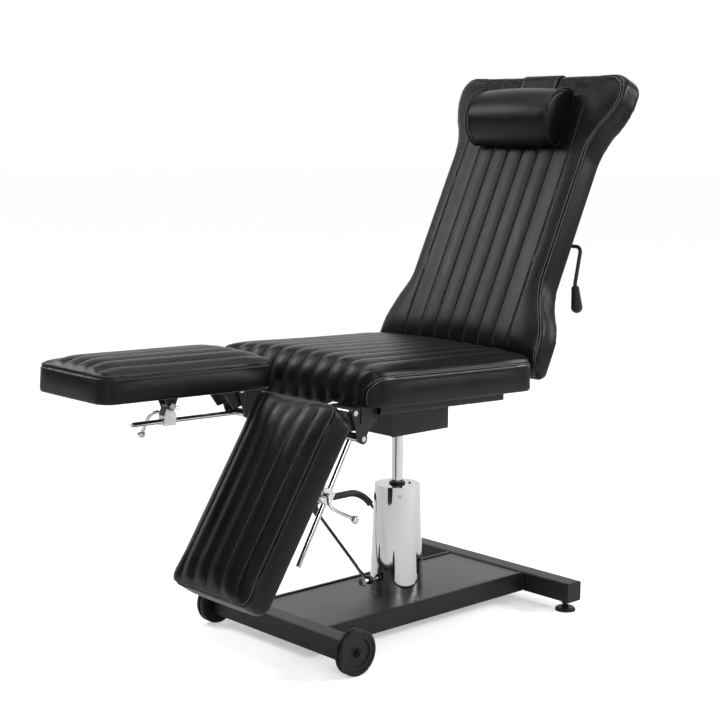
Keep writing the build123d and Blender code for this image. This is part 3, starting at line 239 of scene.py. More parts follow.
vinyl = finish(
    "black vinyl", (0.002, 0.002, 0.0022), (0.007, 0.007, 0.0073), (0.26, 0.38),
    bump=0.35, depth=0.25, size=620.0, drift=14.0, leather=True, sheen=0.19,
)
thread = finish(
    "grey thread", (0.34, 0.34, 0.34), (0.46, 0.46, 0.46), (0.6, 0.8), bump=0.6, depth=0.3, size=2500.0
)
dark_thread = finish(
    "dark thread", (0.08, 0.08, 0.08), (0.13, 0.13, 0.13), (0.6, 0.8), bump=0.6, depth=0.3, size=2500.0
)
paint = finish(
    "black powder coat", (0.006, 0.006, 0.0063), (0.014, 0.014, 0.0145), (0.34, 0.5),
    bump=0.25, depth=0.08, size=1100.0, sheen=0.3,
)
# The floor plate's coat is the black coat made paler: painted sheen of the bright room on its flat top.
plate_coat_painted_sheen = finish(
    "floor plate coat with painted sheen", (0.018, 0.018, 0.019), (0.04, 0.04, 0.041), (0.28, 0.5),
    bump=0.25, depth=0.08, size=900.0, drift=5.0,
)
chrome = finish(
    "polished chrome", (0.45, 0.45, 0.46), (0.55, 0.55, 0.56), (0.03, 0.08),
    metallic=1.0, bump=0.02, depth=0.02, size=300.0, drift=6.0,
)
zinc = finish(
    "zinc plate", (0.45, 0.45, 0.46), (0.6, 0.6, 0.61), (0.22, 0.4),
    metallic=1.0, bump=0.15, depth=0.05, size=1500.0, drift=40.0,
)
casting = finish(
    "clamp casting", (0.5, 0.5, 0.51), (0.66, 0.66, 0.67), (0.2, 0.36),
    metallic=1.0, bump=0.4, depth=0.2, size=800.0, drift=30.0,
)
moulded = finish(
    "black moulded plastic", (0.006, 0.006, 0.006), (0.015, 0.015, 0.015), (0.35, 0.55),
    bump=0.3, depth=0.1, size=1400.0, drift=20.0, sheen=0.26,
)
rubber = finish(
    "pedal rubber", (0.01, 0.01, 0.01), (0.022, 0.022, 0.022), (0.5, 0.75),
    bump=0.5, depth=0.2, size=1800.0, drift=25.0,
)
lining = finish(
    "black lining cloth", (0.012, 0.012, 0.012), (0.02, 0.02, 0.02), (0.8, 0.95),
    bump=0.6, depth=0.3, size=1600.0, drift=18.0,
)

# %% Finishes of the CAD nodes
by_slot = {
    "vinyl": vinyl, "plywood": lining, "chrome": chrome, "wheel_plastic": moulded, "rubber": rubber,
    "cast": casting, "black_cast": paint, "zinc": zinc, "gland_plastic": moulded, "black_steel": paint,
}
slots = {part["node"]: part["material_slot"] for part in frame["record"]["subparts"]}
for name, node in frame["nodes"].items():
    coat = by_slot[slots[name]]
    # The floor plate gets the paler coat, whose lighter colour is painted sheen.
    if name == "base_plate":
        coat = plate_coat_painted_sheen
    elif name.startswith("clamp_lever"):
        coat = casting
    node.data.materials.clear()
    node.data.materials.append(coat)
print("finished", len(frame["nodes"]), "CAD nodes")


# %% [markdown]
# A pad starts as a copy of its CAD solid, laid flat. The pocket for the board is made shallow, the
# surface is remeshed into even squares, and a cloth simulation with air pressure swells it. The lower
# part is pinned, as the real cover is stapled round the board's edge.

# %% Swelling a pad
cap_swell = 8 * mm
pin_below = 16 * mm
wrinkle_share = 0.1
round_low = 4
calm_rounds = 70
cloth_frames = 20
pocket_top = 12.3 * mm
pocket_shown = 3 * mm


def flat_copy(name, node, place):
    """The CAD solid as a new object, laid flat, with a shallow pocket."""
    shape = bmesh.new()
    shape.from_mesh(frame["nodes"][node].data)
    bmesh.ops.remove_doubles(shape, verts=shape.verts, dist=0.02 * mm)
    bmesh.ops.transform(shape, matrix=place.inverted(), verts=shape.verts)
    for vert in shape.verts:
        if abs(vert.co.z - pocket_top) < 0.1 * mm:
            vert.co.z = pocket_shown
    mesh = bpy.data.meshes.new(name)
    shape.to_mesh(mesh)
    shape.free()
    piece = bpy.data.objects.new(name, mesh)
    scene.collection.objects.link(piece)
    return piece


def settle(piece):
    """Applies every modifier of a piece to its mesh."""
    graph = bpy.context.evaluated_depsgraph_get()
    graph.update()
    mesh = bpy.data.meshes.new_from_object(piece.evaluated_get(graph))
    piece.modifiers.clear()
    piece.data = mesh


def corners_of(mesh):
    """Vertex places as rows of x, y, z."""
    places = np.empty(len(mesh.vertices) * 3)
    mesh.vertices.foreach_get("co", places)
    return places.reshape(-1, 3)


def normals_of(mesh):
    """Vertex normals as rows of x, y, z."""
    normals = np.empty(len(mesh.vertices) * 3)
    mesh.vertex_normals.foreach_get("vector", normals)
    return normals.reshape(-1, 3)


def set_corners(mesh, places):
    """Writes vertex places back to a mesh."""
    mesh.vertices.foreach_set("co", places.ravel())
    mesh.update()


def soft_step(value, low, high):
    """0 below low, 1 above high, smooth between."""
    share = np.clip((value - low) / (high - low), 0, 1)
    return share * share * (3 - 2 * share)


def edges_of(mesh):
    """Edge ends as rows of two vertex numbers."""
    ends = np.empty(len(mesh.edges) * 2, dtype=np.int64)
    mesh.edges.foreach_get("vertices", ends)
    return ends.reshape(-1, 2)


def blurred(field, ends, rounds):
    """A value at each vertex, averaged with its neighbours round after round."""
    number = len(field)
    around = np.bincount(ends.ravel(), minlength=number)
    for _ in range(rounds):
        for axis in range(3):
            total = np.bincount(ends[:, 0], weights=field[ends[:, 1], axis], minlength=number)
            total += np.bincount(ends[:, 1], weights=field[ends[:, 0], axis], minlength=number)
            field[:, axis] = 0.5 * field[:, axis] + 0.5 * total / around
    return field


def air(piece, pin, pressure):
    """Some frames of cloth under pressure, with the low part held. Gives how far each vertex moved."""
    start = corners_of(piece.data)
    held = piece.vertex_groups.new(name="held")
    held.add([int(number) for number in np.nonzero(start[:, 2] < pin)[0]], 1.0, "REPLACE")
    cloth = piece.modifiers.new("air", "CLOTH")
    cloth.settings.vertex_group_mass = "held"
    cloth.settings.use_pressure = True
    cloth.settings.uniform_pressure_force = pressure
    cloth.settings.effector_weights.gravity = 0
    cloth.settings.quality = 4
    cloth.settings.tension_stiffness = 25
    cloth.settings.compression_stiffness = 25
    cloth.settings.bending_stiffness = 4
    cloth.point_cache.frame_start = 1
    cloth.point_cache.frame_end = cloth_frames
    for number in range(1, cloth_frames + 1):
        scene.frame_set(number)
    settle(piece)
    scene.frame_set(1)
    piece.vertex_groups.clear()
    return corners_of(piece.data) - start


def swell(piece, voxel, pressure=4.0, pin=pin_below, cap=cap_swell, round_off=14):
    """Even squares, rounded edges, a cloth simulation under pressure and one subdivision."""
    remesh = piece.modifiers.new("even squares", "REMESH")
    remesh.mode = "VOXEL"
    remesh.voxel_size = voxel
    settle(piece)
    ends = edges_of(piece.data)
    start = corners_of(piece.data)
    free = soft_step(start[:, 2], pin - 8 * mm, pin + 6 * mm)[:, None]
    low = blurred(start.copy(), ends, round_low)
    start = low + (blurred(start.copy(), ends, round_off) - low) * free
    set_corners(piece.data, start)
    moved = air(piece, pin, pressure)
    moved *= np.minimum(1.0, cap / np.maximum(np.linalg.norm(moved, axis=1, keepdims=True), 1e-9))
    calm = blurred(moved.copy(), ends, calm_rounds)
    set_corners(piece.data, start + calm + wrinkle_share * blurred(moved - calm, ends, 2))
    smooth = piece.modifiers.new("finer", "SUBSURF")
    smooth.levels = smooth.render_levels = 1
    settle(piece)
    print(piece.name, "has", len(piece.data.vertices), "vertices")


# %% [markdown]
# Each seam pulls the cover down into the foam. The pull is strong and narrow at the thread and fades
# over the channel, so the channel stands up like a roll. Small puckers cross the thread.

# %% Seams
seam_wide = 1.4 * mm
snap_reach = 1.3 * mm
pucker_deep = 0.25 * mm
pucker_long = 4.5 * mm
pucker_shift = 900
gather = 0.9 * mm
gather_wide = 5 * mm


def near(value, places):
    """Distance to the nearest of several lines, and that line's place."""
    lines = np.array(places)
    gaps = np.abs(value[:, None] - lines[None, :])
    nearest = gaps.argmin(axis=1)
    return gaps[np.arange(len(value)), nearest], lines[nearest]


def pull_channels(places, normals, seams, pitch, mask, deep, tuck=1.1 * mm, tuck_wide=2.5 * mm):
    """Pulls a pad's face in at its lengthwise seams, and gives the crease at each vertex."""
    gap, line = near(places[:, 0], seams)
    share = np.clip(gap / (pitch / 2), 0, 1)
    pull = deep * (1 - share) ** 2 + tuck * np.exp(-((gap / tuck_wide) ** 2))
    close = np.exp(-((gap / gather_wide) ** 2))
    pucker = np.sin(places[:, 1] / pucker_long + line * pucker_shift) * close * pucker_deep
    places -= normals * ((pull + pucker) * mask)[:, None]
    snug = np.where(gap < pitch / 40, 0.0, gap - gather * close)
    side = np.sign(places[:, 0] - line)
    places[:, 0] += (line + side * snug - places[:, 0]) * soft_step(mask, 0.3, 0.6)
    return np.exp(-((np.abs(places[:, 0] - line) / seam_wide) ** 2)) * soft_step(mask, 0.3, 0.6)


def path_gap(points, path):
    """Distance from rows of two coordinates to a path, and the step from each to the path."""
    path = np.array(path)
    best = np.full(len(points), 1e9)
    steps = np.zeros_like(points)
    for start, end in zip(path[:-1], path[1:]):
        run = end - start
        share = np.clip(((points - start) @ run) / max(run @ run, 1e-12), 0, 1)
        step = start + share[:, None] * run - points
        gap = np.linalg.norm(step, axis=1)
        closer = gap < best
        best[closer] = gap[closer]
        steps[closer] = step[closer]
    return best, steps


def pull_line(places, normals, axes, path, mask, deep=1.6 * mm, wide=2.2 * mm, roll=0.8 * mm):
    """A sewn joint: a groove with a slight roll on each side. Gives the crease at each vertex."""
    gap, step = path_gap(places[:, axes], path)
    snap = (gap < snap_reach) & (mask > 0.3)
    places[np.ix_(snap, axes)] += step[snap]
    gap[snap] = 0
    groove = deep * np.exp(-((gap / wide) ** 2))
    lift = roll * np.exp(-(((gap - 5 * mm) / (3 * mm)) ** 2))
    places -= normals * ((groove - lift) * mask)[:, None]
    return np.exp(-((gap / seam_wide) ** 2)) * soft_step(mask, 0.3, 0.6)


def store_seam(pad, creases):
    """Keeps the strongest crease at each vertex as an attribute for the material: a groove in the bump, and
    painted shade in the colour.
    """
    stored = pad.data.attributes.new("seam", "FLOAT", "POINT")
    stored.data.foreach_set("value", np.maximum.reduce(creases))


# %% [markdown]
# Topstitching is a row of short threads. One small stretched ball stands for each, and it is set down
# along a path that is dropped onto the finished pad. So it lies on the leather, along the seam.

# %% Stitches
def even_points(path, pitch, closed=False):
    """Points at an even pitch along a path of vectors, with the direction at each."""
    route = [Vector(point) for point in path]
    if closed:
        route.append(route[0])
    placed = []
    left = 0.0
    for start, end in zip(route, route[1:]):
        run = end - start
        length = run.length
        while left < length:
            placed.append((start + run * (left / length), run.normalized()))
            left += pitch
        left -= length
    return placed


def surface_of(pad):
    """The pad's surface, ready for points to be dropped on it."""
    return BVHTree.FromPolygons(
        [vert.co for vert in pad.data.vertices], [face.vertices for face in pad.data.polygons]
    )


drop_from = 60
stitch_lift = 0.4


def stitch_row(
    name, tree, path, drop, pitch=5 * mm, long=3.6 * mm, thick=0.55 * mm, closed=False, coat=None,
    reach=190 * mm,
):
    """Stitches on a surface: each point of the path is dropped along a direction onto it.

    A ray starts drop_from millimetres further out, and reach is how far it may go.
    """
    row = bmesh.new()
    count = 0
    for point, run in even_points(path, pitch, closed):
        direction = Vector(drop(point)) if callable(drop) else Vector(drop)
        hit, normal = tree.ray_cast(point - direction * drop_from * mm, direction, reach)[:2]
        if hit is None:
            continue
        if normal.dot(direction) > -0.1:
            normal = -direction
        along = (run - normal * run.dot(normal)).normalized()
        turn = Matrix((along, normal.cross(along), normal)).transposed().to_4x4()
        size = Matrix.Diagonal((long / 2, thick, thick, 1))
        place = Matrix.Translation(hit + normal * stitch_lift * mm) @ turn @ size
        bmesh.ops.create_icosphere(row, subdivisions=1, radius=1.0, matrix=place)
        count += 1
    mesh = bpy.data.meshes.new(name)
    row.to_mesh(mesh)
    row.free()
    mesh.materials.append(coat or thread)
    piece = bpy.data.objects.new(name, mesh)
    scene.collection.objects.link(piece)
    print(name, count, "stitches")
    return piece


def place_piece(piece, place, body):
    """Leans a flat piece into place, smooths it and lets it ride on its body."""
    piece.data.transform(place)
    piece.data.update()
    piece.data.shade_smooth()
    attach(piece, body)


def corner_path(left, right, front, rear, front_radius, rear_radius, steps=8):
    """A rounded rectangle as points, anticlockwise from the front left."""
    points = []
    for x, y, radius, start in (
        (left, front, front_radius, 180), (right, front, front_radius, 270),
        (right, rear, rear_radius, 0), (left, rear, rear_radius, 90),
    ):
        centre_x = x + radius if x == left else x - radius
        centre_y = y + radius if y == front else y - radius
        for step in range(steps + 1):
            angle = math.radians(start + 90 * step / steps)
            points.append((centre_x + radius * math.cos(angle), centre_y + radius * math.sin(angle)))
    return points


# %% [markdown]
# The seat's top panel carries the channels and runs down over the front edge. A flat side panel closes
# each side, and its joint is topstitched twice: along the top, down the front and down the rear corner.

# %% Seat
seat_half = 280 * mm
seat_front = -352 * mm
seat_rear = 182 * mm
seat_edge = 70 * mm
seat_nose = 44 * mm
seat_tail = 24 * mm
seat_pitch = 49 * mm
seat_border = 12 * mm
edge_reach = 85 * mm
skirt_drop = 9 * mm
skirt_half = 150 * mm
skirt_from = 300 * mm
skirt_to = 345 * mm
skirt_high = 30 * mm


def seam_places(pitch, count):
    """Seams each side of the middle line."""
    return [pitch * (number + 0.5) for number in range(-count, count)]


def bend(centre_y, centre_z, radius, start, end, steps=8):
    """Arc in the side view, as points."""
    angles = [math.radians(start + (end - start) * step / steps) for step in range(steps + 1)]
    return [
        (centre_y + radius * math.cos(angle), centre_z + radius * math.sin(angle)) for angle in angles
    ]


def seat_joint(inset):
    """Side-view path of the joint between the top panel and the side panel."""
    path = [(seat_rear - inset, 6 * mm)]
    path += bend(seat_rear - seat_tail, seat_edge - seat_tail, seat_tail - inset, 0, 90)
    path += bend(seat_front + seat_nose, seat_edge - seat_nose, seat_nose - inset, 90, 180)
    return path + [(seat_front + inset, 8 * mm)]


def nose_line(x):
    """A seam's line over the seat and down its front, well outside the pad."""
    high = seat_edge + 40 * mm
    path = [(seat_rear - 12 * mm, high)] + bend(seat_front + seat_nose, seat_edge, 70 * mm, 90, 180)
    return [(x, y, z) for y, z in path + [(seat_front - 26 * mm, 12 * mm)]]


def nose_drop(point):
    """Direction from that line onto the pad."""
    if point.y > seat_front + seat_nose:
        return 0, 0, -1
    if point.z < seat_edge:
        return 0, 1, 0
    return (Vector((point.x, seat_front + seat_nose, seat_edge)) - point).normalized()


def build_seat():
    """Seat pad, whose front hangs lower in the middle, its side joints and their topstitching."""
    pad = flat_copy("seat_pad", "seat_cushion", seat_place)
    swell(pad, seat_pitch / 10)
    places = corners_of(pad.data)
    normals = normals_of(pad.data)
    seams = seam_places(seat_pitch, 5)
    face = soft_step(normals[:, 2] - normals[:, 1], 0.25, 0.75) * soft_step(places[:, 2], 2 * mm, 12 * mm)
    border = soft_step(seat_half - seat_border - np.abs(places[:, 0]), 0, seat_border)
    front = soft_step(-normals[:, 1], 0.1, 0.7)
    flank = soft_step(np.abs(normals[:, 0]), 0.15, 0.5)
    creases = [
        pull_channels(places, normals, seams, seat_pitch, face * border, (1.3 + 4.2 * front) * mm),
        pull_line(places, normals, [1, 2], seat_joint(4.7 * mm), flank, deep=1.2 * mm),
    ]
    skirt = soft_step(-places[:, 1], skirt_from, skirt_to)
    skirt *= soft_step(skirt_high - places[:, 2], 0, skirt_high)
    places[:, 2] -= skirt_drop * skirt * soft_step(skirt_half - np.abs(places[:, 0]), 0, 30 * mm)
    set_corners(pad.data, places)
    store_seam(pad, creases)
    pad.data.materials.append(vinyl)
    surface = surface_of(pad)
    rows = [
        stitch_row(f"seat_channel_stitch_{number}", surface, nose_line(x), nose_drop, coat=dark_thread)
        for number, x in enumerate(seams)
    ]
    for side, name in ((-1, "left"), (1, "right")):
        for number, inset in enumerate((2 * mm, 7.5 * mm)):
            path = [(side * seat_half, y, z) for y, z in seat_joint(inset)]
            label = f"seat_edge_stitch_{number}_{name}"
            rows.append(stitch_row(label, surface, path, (-side, 0, 0), reach=edge_reach))
    for piece in [pad] + rows:
        place_piece(piece, seat_place, "seat")
    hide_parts("seat_cushion")


build_seat()

# %% [markdown]
# A leg rest is one channelled panel inside a plain border: the joint runs right round its top edge.

# %% Leg rests
leg_long = 463 * mm
leg_half = 137.5 * mm
leg_middle = 142.5 * mm
leg_pitch = 46.7 * mm
leg_joint = 57 * mm
leg_reach = 9 * mm
leg_border = 16 * mm
leg_round = 50 * mm
drop_high = 120 * mm


def leg_inward(point):
    """Level direction from outside a leg rest onto its edge."""
    x = max(leg_round - leg_half, min(leg_half - leg_round, point.x))
    y = max(leg_round - leg_long, min(-leg_round, point.y))
    return (Vector((x, y, point.z)) - point).normalized()


def build_leg(name, side):
    """Leg rest pad that reaches up to the seat, with five seams and a stitched joint round its top."""
    place = leg_place[name] @ Matrix.Translation((side * leg_middle, 0, 0))
    pad = flat_copy(f"leg_pad_{name}", f"leg_cushion_{name}", place)
    swell(pad, leg_pitch / 10)
    places = corners_of(pad.data)
    normals = normals_of(pad.data)
    across = leg_half - leg_border - np.abs(places[:, 0])
    along = np.minimum(places[:, 1] + leg_long - leg_border, -leg_border - places[:, 1])
    face = soft_step(normals[:, 2], 0.2, 0.6) * soft_step(across, -4 * mm, 8 * mm)
    face *= soft_step(along, -8 * mm, 22 * mm)
    seams = [leg_pitch * number for number in range(-2, 3)]
    shoulder = soft_step(0.95 - normals[:, 2], 0, 0.2) * soft_step(places[:, 2], 30 * mm, 45 * mm)
    creases = [
        pull_channels(places, normals, seams, leg_pitch, face, 1.9 * mm),
        pull_line(places, normals, [1, 2], [(-1, leg_joint), (1, leg_joint)], shoulder, deep=1.2 * mm),
    ]
    upper = soft_step(places[:, 2], 15 * mm, 45 * mm)
    places[:, 1] += leg_reach * soft_step(places[:, 1], -70 * mm, 0) * upper
    set_corners(pad.data, places)
    store_seam(pad, creases)
    pad.data.materials.append(vinyl)
    surface = surface_of(pad)
    wide = leg_half + 30 * mm
    ring = corner_path(-wide, wide, -leg_long - 30 * mm, 40 * mm, 60 * mm, 60 * mm)
    ring = [(x, y, leg_joint + 4 * mm) for x, y in ring]
    label = f"leg_edge_stitch_{name}"
    rows = [stitch_row(label, surface, ring, leg_inward, closed=True, coat=dark_thread)]
    for number, x in enumerate(seams):
        path = [(x, -leg_long + 14 * mm, drop_high), (x, -14 * mm, drop_high)]
        label = f"leg_channel_stitch_{number}_{name}"
        rows.append(stitch_row(label, surface, path, (0, 0, -1), coat=dark_thread))
    for piece in [pad] + rows:
        place_piece(piece, place, f"leg_rest_{name}")
    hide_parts(f"leg_cushion_{name}")


build_leg("left", -1)
build_leg("right", 1)

# %% [markdown]
# The back is a tall slab with a waist. Its border follows the outline, so the joint's path is drawn
# from the same widths as the solid: wide foot, waist and flared head.

# %% Backrest
back_top = 828 * mm
back_low = 27 * mm
back_pitch = 51 * mm
back_wide = 279 * mm
back_neck = 228 * mm
back_head = 282 * mm
back_corner = 40 * mm
waist_from = 100 * mm
waist_long = 170 * mm
flare_from = 620 * mm
flare_long = 145 * mm
flare_out = 6 * mm
ridge_out = 4.5 * mm
strap_half = 61 * mm
strap_low = 634 * mm
strap_over = 63.4 * mm
strap_fade = 8 * mm
stitched_to = 578 * mm


def ease(start, end, share):
    """A smooth step between two values."""
    return start + (end - start) * (3 * share ** 2 - 2 * share ** 3)


def back_side(inset, low):
    """Right edge of the back from foot to top, inset."""
    foot = back_wide - inset
    path = [(foot - 20 * mm, low), (foot, low + 22 * mm), (foot, waist_from)]
    for step in range(1, 11):
        path.append((ease(back_wide, back_neck, step / 10) - inset, waist_from + waist_long * step / 10))
    path.append((back_neck - inset, flare_from))
    for step in range(1, 11):
        path.append((ease(back_neck, back_head, step / 10) - inset, flare_from + flare_long * step / 10))
    for step in range(9):
        angle = math.radians(90 * step / 8)
        x = back_head - inset - back_corner * (1 - math.cos(angle))
        path.append((x, back_top - inset - back_corner * (1 - math.sin(angle))))
    return path


def back_ring(inset, low):
    """Outline of the back, up the right side and down the left."""
    right = back_side(inset, low)
    return right + [(-x, y) for x, y in reversed(right)]


def true_outline(pad):
    """Pushes the back's top and flare out again, where the blur had shrunk them. Gives the places."""
    places = corners_of(pad.data)
    places[:, 1] += (back_top - places[:, 1].max()) * soft_step(places[:, 1], 700 * mm, 800 * mm)
    sides = np.abs(places[:, 0])
    head = soft_step(places[:, 1], 620 * mm, 740 * mm) * soft_step(sides, 200 * mm, 260 * mm)
    flare = soft_step(places[:, 1], 590 * mm, 650 * mm) * soft_step(-places[:, 1], -730 * mm, -680 * mm)
    flare *= soft_step(sides, 180 * mm, 230 * mm)
    places[:, 0] += np.sign(places[:, 0]) * ((back_head - sides.max()) * head + flare_out * flare)
    normals = normals_of(pad.data)
    ridge = soft_step(np.minimum(normals[:, 1], normals[:, 2]), 0.1, 0.5)
    ridge *= soft_step(-sides, -262 * mm, -232 * mm)
    ridge *= ridge_out * (1 - 0.5 * soft_step(strap_half + strap_fade - sides, 0, strap_fade))
    return places + blurred(normals * ridge[:, None], edges_of(pad.data), 6)


def build_back():
    """Back pad with eight seams, the border's joint and its stitches."""
    pad = flat_copy("back_pad", "back_cushion", back_place)
    swell(pad, back_pitch / 10, round_off=5)
    places = true_outline(pad)
    normals = normals_of(pad.data)
    seams = seam_places(back_pitch, 4)
    face = soft_step(normals[:, 2] + 0.9 * normals[:, 1], 0.15, 0.5)
    face *= soft_step(places[:, 2], 8 * mm, 20 * mm)
    face *= 1 - 0.65 * soft_step(normals[:, 1], 0.2, 0.7)
    border = soft_step(normals[:, 2], 0.1, 0.4) * soft_step(np.abs(places[:, 0]), 190 * mm, 200 * mm)
    inner = soft_step(-np.abs(places[:, 0]), -160 * mm, -145 * mm)
    creases = [
        pull_channels(places, normals, seams, back_pitch, face, -(0.2 + 1.6 * inner) * mm, tuck=2.1 * mm),
        pull_line(places, normals, [0, 1], back_ring(10 * mm, back_low - 30 * mm), border),
    ]
    under_strap = soft_step(strap_half + strap_fade - np.abs(places[:, 0]), 0, strap_fade)
    under_strap *= soft_step(places[:, 1], strap_low - 12 * mm, strap_low)
    places[:, 2] -= np.maximum(places[:, 2] - strap_over, 0) * under_strap
    places[:, 1] -= np.maximum(places[:, 1] - back_top, 0) * under_strap
    set_corners(pad.data, places)
    store_seam(pad, creases)
    pad.data.materials.append(vinyl)
    surface = surface_of(pad)
    rows = []
    for side, name in ((-1, "left"), (1, "right")):
        for number, inset in enumerate((7 * mm, 13 * mm)):
            path = [(side * x, y, drop_high) for x, y in back_side(inset, back_low)]
            rows.append(stitch_row(f"back_edge_stitch_{name}_{number}", surface, path, (0, 0, -1)))
    for number, x in enumerate(seams):
        top = stitched_to if abs(x) < strap_half else back_top - 12 * mm
        path = [(x, back_low + 60 * mm, drop_high), (x, top, drop_high)]
        label = f"back_channel_stitch_{number}"
        rows.append(stitch_row(label, surface, path, (0, 0, -1), coat=dark_thread))
    for piece in [pad] + rows:
        place_piece(piece, back_place, "back")
    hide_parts("back_cushion")


build_back()

# %% [markdown]
# The bolster is a fat D in section with piped ends, held by a flat strap over the top of the back.

# %% Pillow and strap
pillow_half = 135 * mm
pillow_base = 66.8 * mm
pillow_middle = 692 * mm
pillow_high = 160 * mm
pillow_deep = 91 * mm
pillow_corner = 20 * mm
pillow_end_share = 0.95
pipe_thick = 2.6 * mm
strap_high = 90 * mm


def tube_along(name, path, radius, material, closed=True):
    """A round tube along a path, made from a curve and turned into a mesh."""
    curve = bpy.data.curves.new(name, "CURVE")
    curve.dimensions = "3D"
    curve.bevel_depth = radius
    curve.bevel_resolution = 3
    curve.use_fill_caps = True
    spline = curve.splines.new("NURBS")
    spline.points.add(len(path) - 1)
    for point, place in zip(spline.points, path):
        point.co = (*place, 1)
    spline.order_u = 3
    spline.use_endpoint_u = not closed
    spline.use_cyclic_u = closed
    holder = bpy.data.objects.new(name + "_curve", curve)
    scene.collection.objects.link(holder)
    graph = bpy.context.evaluated_depsgraph_get()
    graph.update()
    mesh = bpy.data.meshes.new_from_object(holder.evaluated_get(graph))
    bpy.data.objects.remove(holder)
    mesh.materials.clear()
    mesh.materials.append(material)
    piece = bpy.data.objects.new(name, mesh)
    scene.collection.objects.link(piece)
    return piece


def pillow_ring(place_x, share):
    """Section of the pillow at a distance x, as points round its edge."""
    half = pillow_high / 2 * share
    base = pillow_base + pillow_corner
    rise = pillow_deep * share - pillow_corner
    low = bend(pillow_middle - half + pillow_corner, base, pillow_corner, 270, 180, 6)
    over = [
        (pillow_middle - half * math.cos(angle), base + rise * math.sin(angle))
        for angle in (math.radians(180 * step / 16) for step in range(1, 16))
    ]
    high = bend(pillow_middle + half - pillow_corner, base, pillow_corner, 0, -90, 6)
    return [(place_x, y, z) for y, z in low + over + high]


def build_pillow():
    """Bolster, its piping and the strap with its edge stitches."""
    pad = flat_copy("pillow_pad", "pillow", back_place)
    swell(pad, 5 * mm, pin=70 * mm, cap=5 * mm, round_off=4)
    pad.data.materials.append(vinyl)
    pipes = []
    for side, letter in ((-1, "l"), (1, "r")):
        ring = pillow_ring(side * (pillow_half - 1 * mm), pillow_end_share)
        pipes.append(tube_along(f"pillow_piping_{letter}", ring, pipe_thick, vinyl))
    for piece in [pad] + pipes:
        place_piece(piece, back_place, "headrest")
    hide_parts("pillow")
    strap = flat_copy("strap_band", "head_strap", back_place)
    rounded = strap.modifiers.new("soft edge", "BEVEL")
    rounded.width = 0.8 * mm
    rounded.segments = 2
    settle(strap)
    strap.data.materials.append(vinyl)
    surface = surface_of(strap)
    rows = []
    for side, letter in ((-1, "l"), (1, "r")):
        for number, inset in enumerate((4 * mm, 8 * mm)):
            x = side * (strap_half - inset)
            path = [(x, strap_low + 2 * mm, strap_high), (x, back_top - 18 * mm, strap_high)]
            rows.append(stitch_row(f"strap_stitch_{number}_{letter}", surface, path, (0, 0, -1)))
    strap.data.transform(back_place)
    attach(strap, "back")
    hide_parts("head_strap")
    for piece in rows:
        place_piece(piece, back_place, "back")


build_pillow()

# %% [markdown]
# Small hardware finishes the hard parts: the spring clips on the clamp pins, a few screws and nuts, the
# weld beads of the frame and the staples that hold the covers. Each is short, so loops make them all.

# %% Small hardware
zed = Vector((0, 0, 1))
clip_wire = 0.8 * mm
weld_r = 2.3 * mm
weld_pitch = 1.9 * mm
shroud_r = 57.2


def at(x, y, z):
    """A place in the column's frame, in millimetres, as a place in the row's frame."""
    return Vector((x * mm, y * mm + column_y, z * mm))


def drum(shape, foot, along, radius, height, sides=24, top=1.0):
    """A short cylinder, cone or prism that stands on a point."""
    turn = along.to_track_quat("Z", "Y").to_matrix().to_4x4()
    place = Matrix.Translation(foot + along.normalized() * height / 2) @ turn
    bmesh.ops.create_cone(
        shape, cap_ends=True, segments=sides, radius1=radius, radius2=radius * top, depth=height,
        matrix=place,
    )


def small_piece(name, shape, material, body):
    """Turns a bmesh into a piece that rides on a body."""
    mesh = bpy.data.meshes.new(name)
    shape.to_mesh(mesh)
    shape.free()
    mesh.materials.append(material)
    piece = bpy.data.objects.new(name, mesh)
    scene.collection.objects.link(piece)
    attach(piece, body)
    return piece


def screw(name, foot, along, body, radius=3.4 * mm, material=zinc):
    """A washer, a pan head and the edge of its socket."""
    shape = bmesh.new()
    way = along.normalized()
    drum(shape, foot - way * 0.6 * mm, way, radius * 1.5, 1.2 * mm)
    drum(shape, foot + way * 0.6 * mm, way, radius, 1.8 * mm, top=0.8)
    drum(shape, foot + way * 2.4 * mm, way, radius * 0.62, 0.5 * mm, sides=6, top=0.9)
    small_piece(name, shape, material, body)


def spring_clip(name, centre, turn, body):
    """An R-clip: a straight leg through the pin, a round loop and a bowed leg over the pin."""
    flat = [(-10, 0), (-4, 0), (3, 0), (9, -0.4)]
    flat += [(14.5 - 5.5 * math.cos(math.radians(step)), -3.6 + 5.5 * math.sin(math.radians(step)))
             for step in range(60, -211, -30)]
    flat += [(8.4, -2.4), (4, -4.6), (0, -5.6), (-4, -4.4), (-8, -5.4), (-11, -7.2)]
    path = [centre + turn @ Vector((0, y * mm, z * mm)) for y, z in flat]
    wire = tube_along(name, path, clip_wire, zinc, closed=False)
    wire.data.shade_smooth()
    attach(wire, body)


def weld(name, lines, body):
    """Weld beads: overlapping drops of metal along each line."""
    shape = bmesh.new()
    for path in lines:
        for number, (point, _) in enumerate(even_points(path, weld_pitch)):
            swing = 1 + 0.12 * math.sin(number * 2.4)
            size = Matrix.Diagonal((weld_r * swing, weld_r * swing, weld_r * 0.9, 1))
            bmesh.ops.create_uvsphere(
                shape, u_segments=8, v_segments=5, radius=1.0, matrix=Matrix.Translation(point) @ size
            )
    bead = small_piece(name, shape, paint, body)
    bead.data.shade_smooth()


def staples(name, node, place, path, body):
    """Staples on a board's underside, in a row along a path."""
    board = flat_copy(f"{name}_board", node, place)
    tree = surface_of(board)
    bpy.data.objects.remove(board)
    row = stitch_row(
        name, tree, path, (0, 0, 1), pitch=26 * mm, long=9 * mm, thick=0.5 * mm, closed=True, coat=zinc
    )
    place_piece(row, place, body)


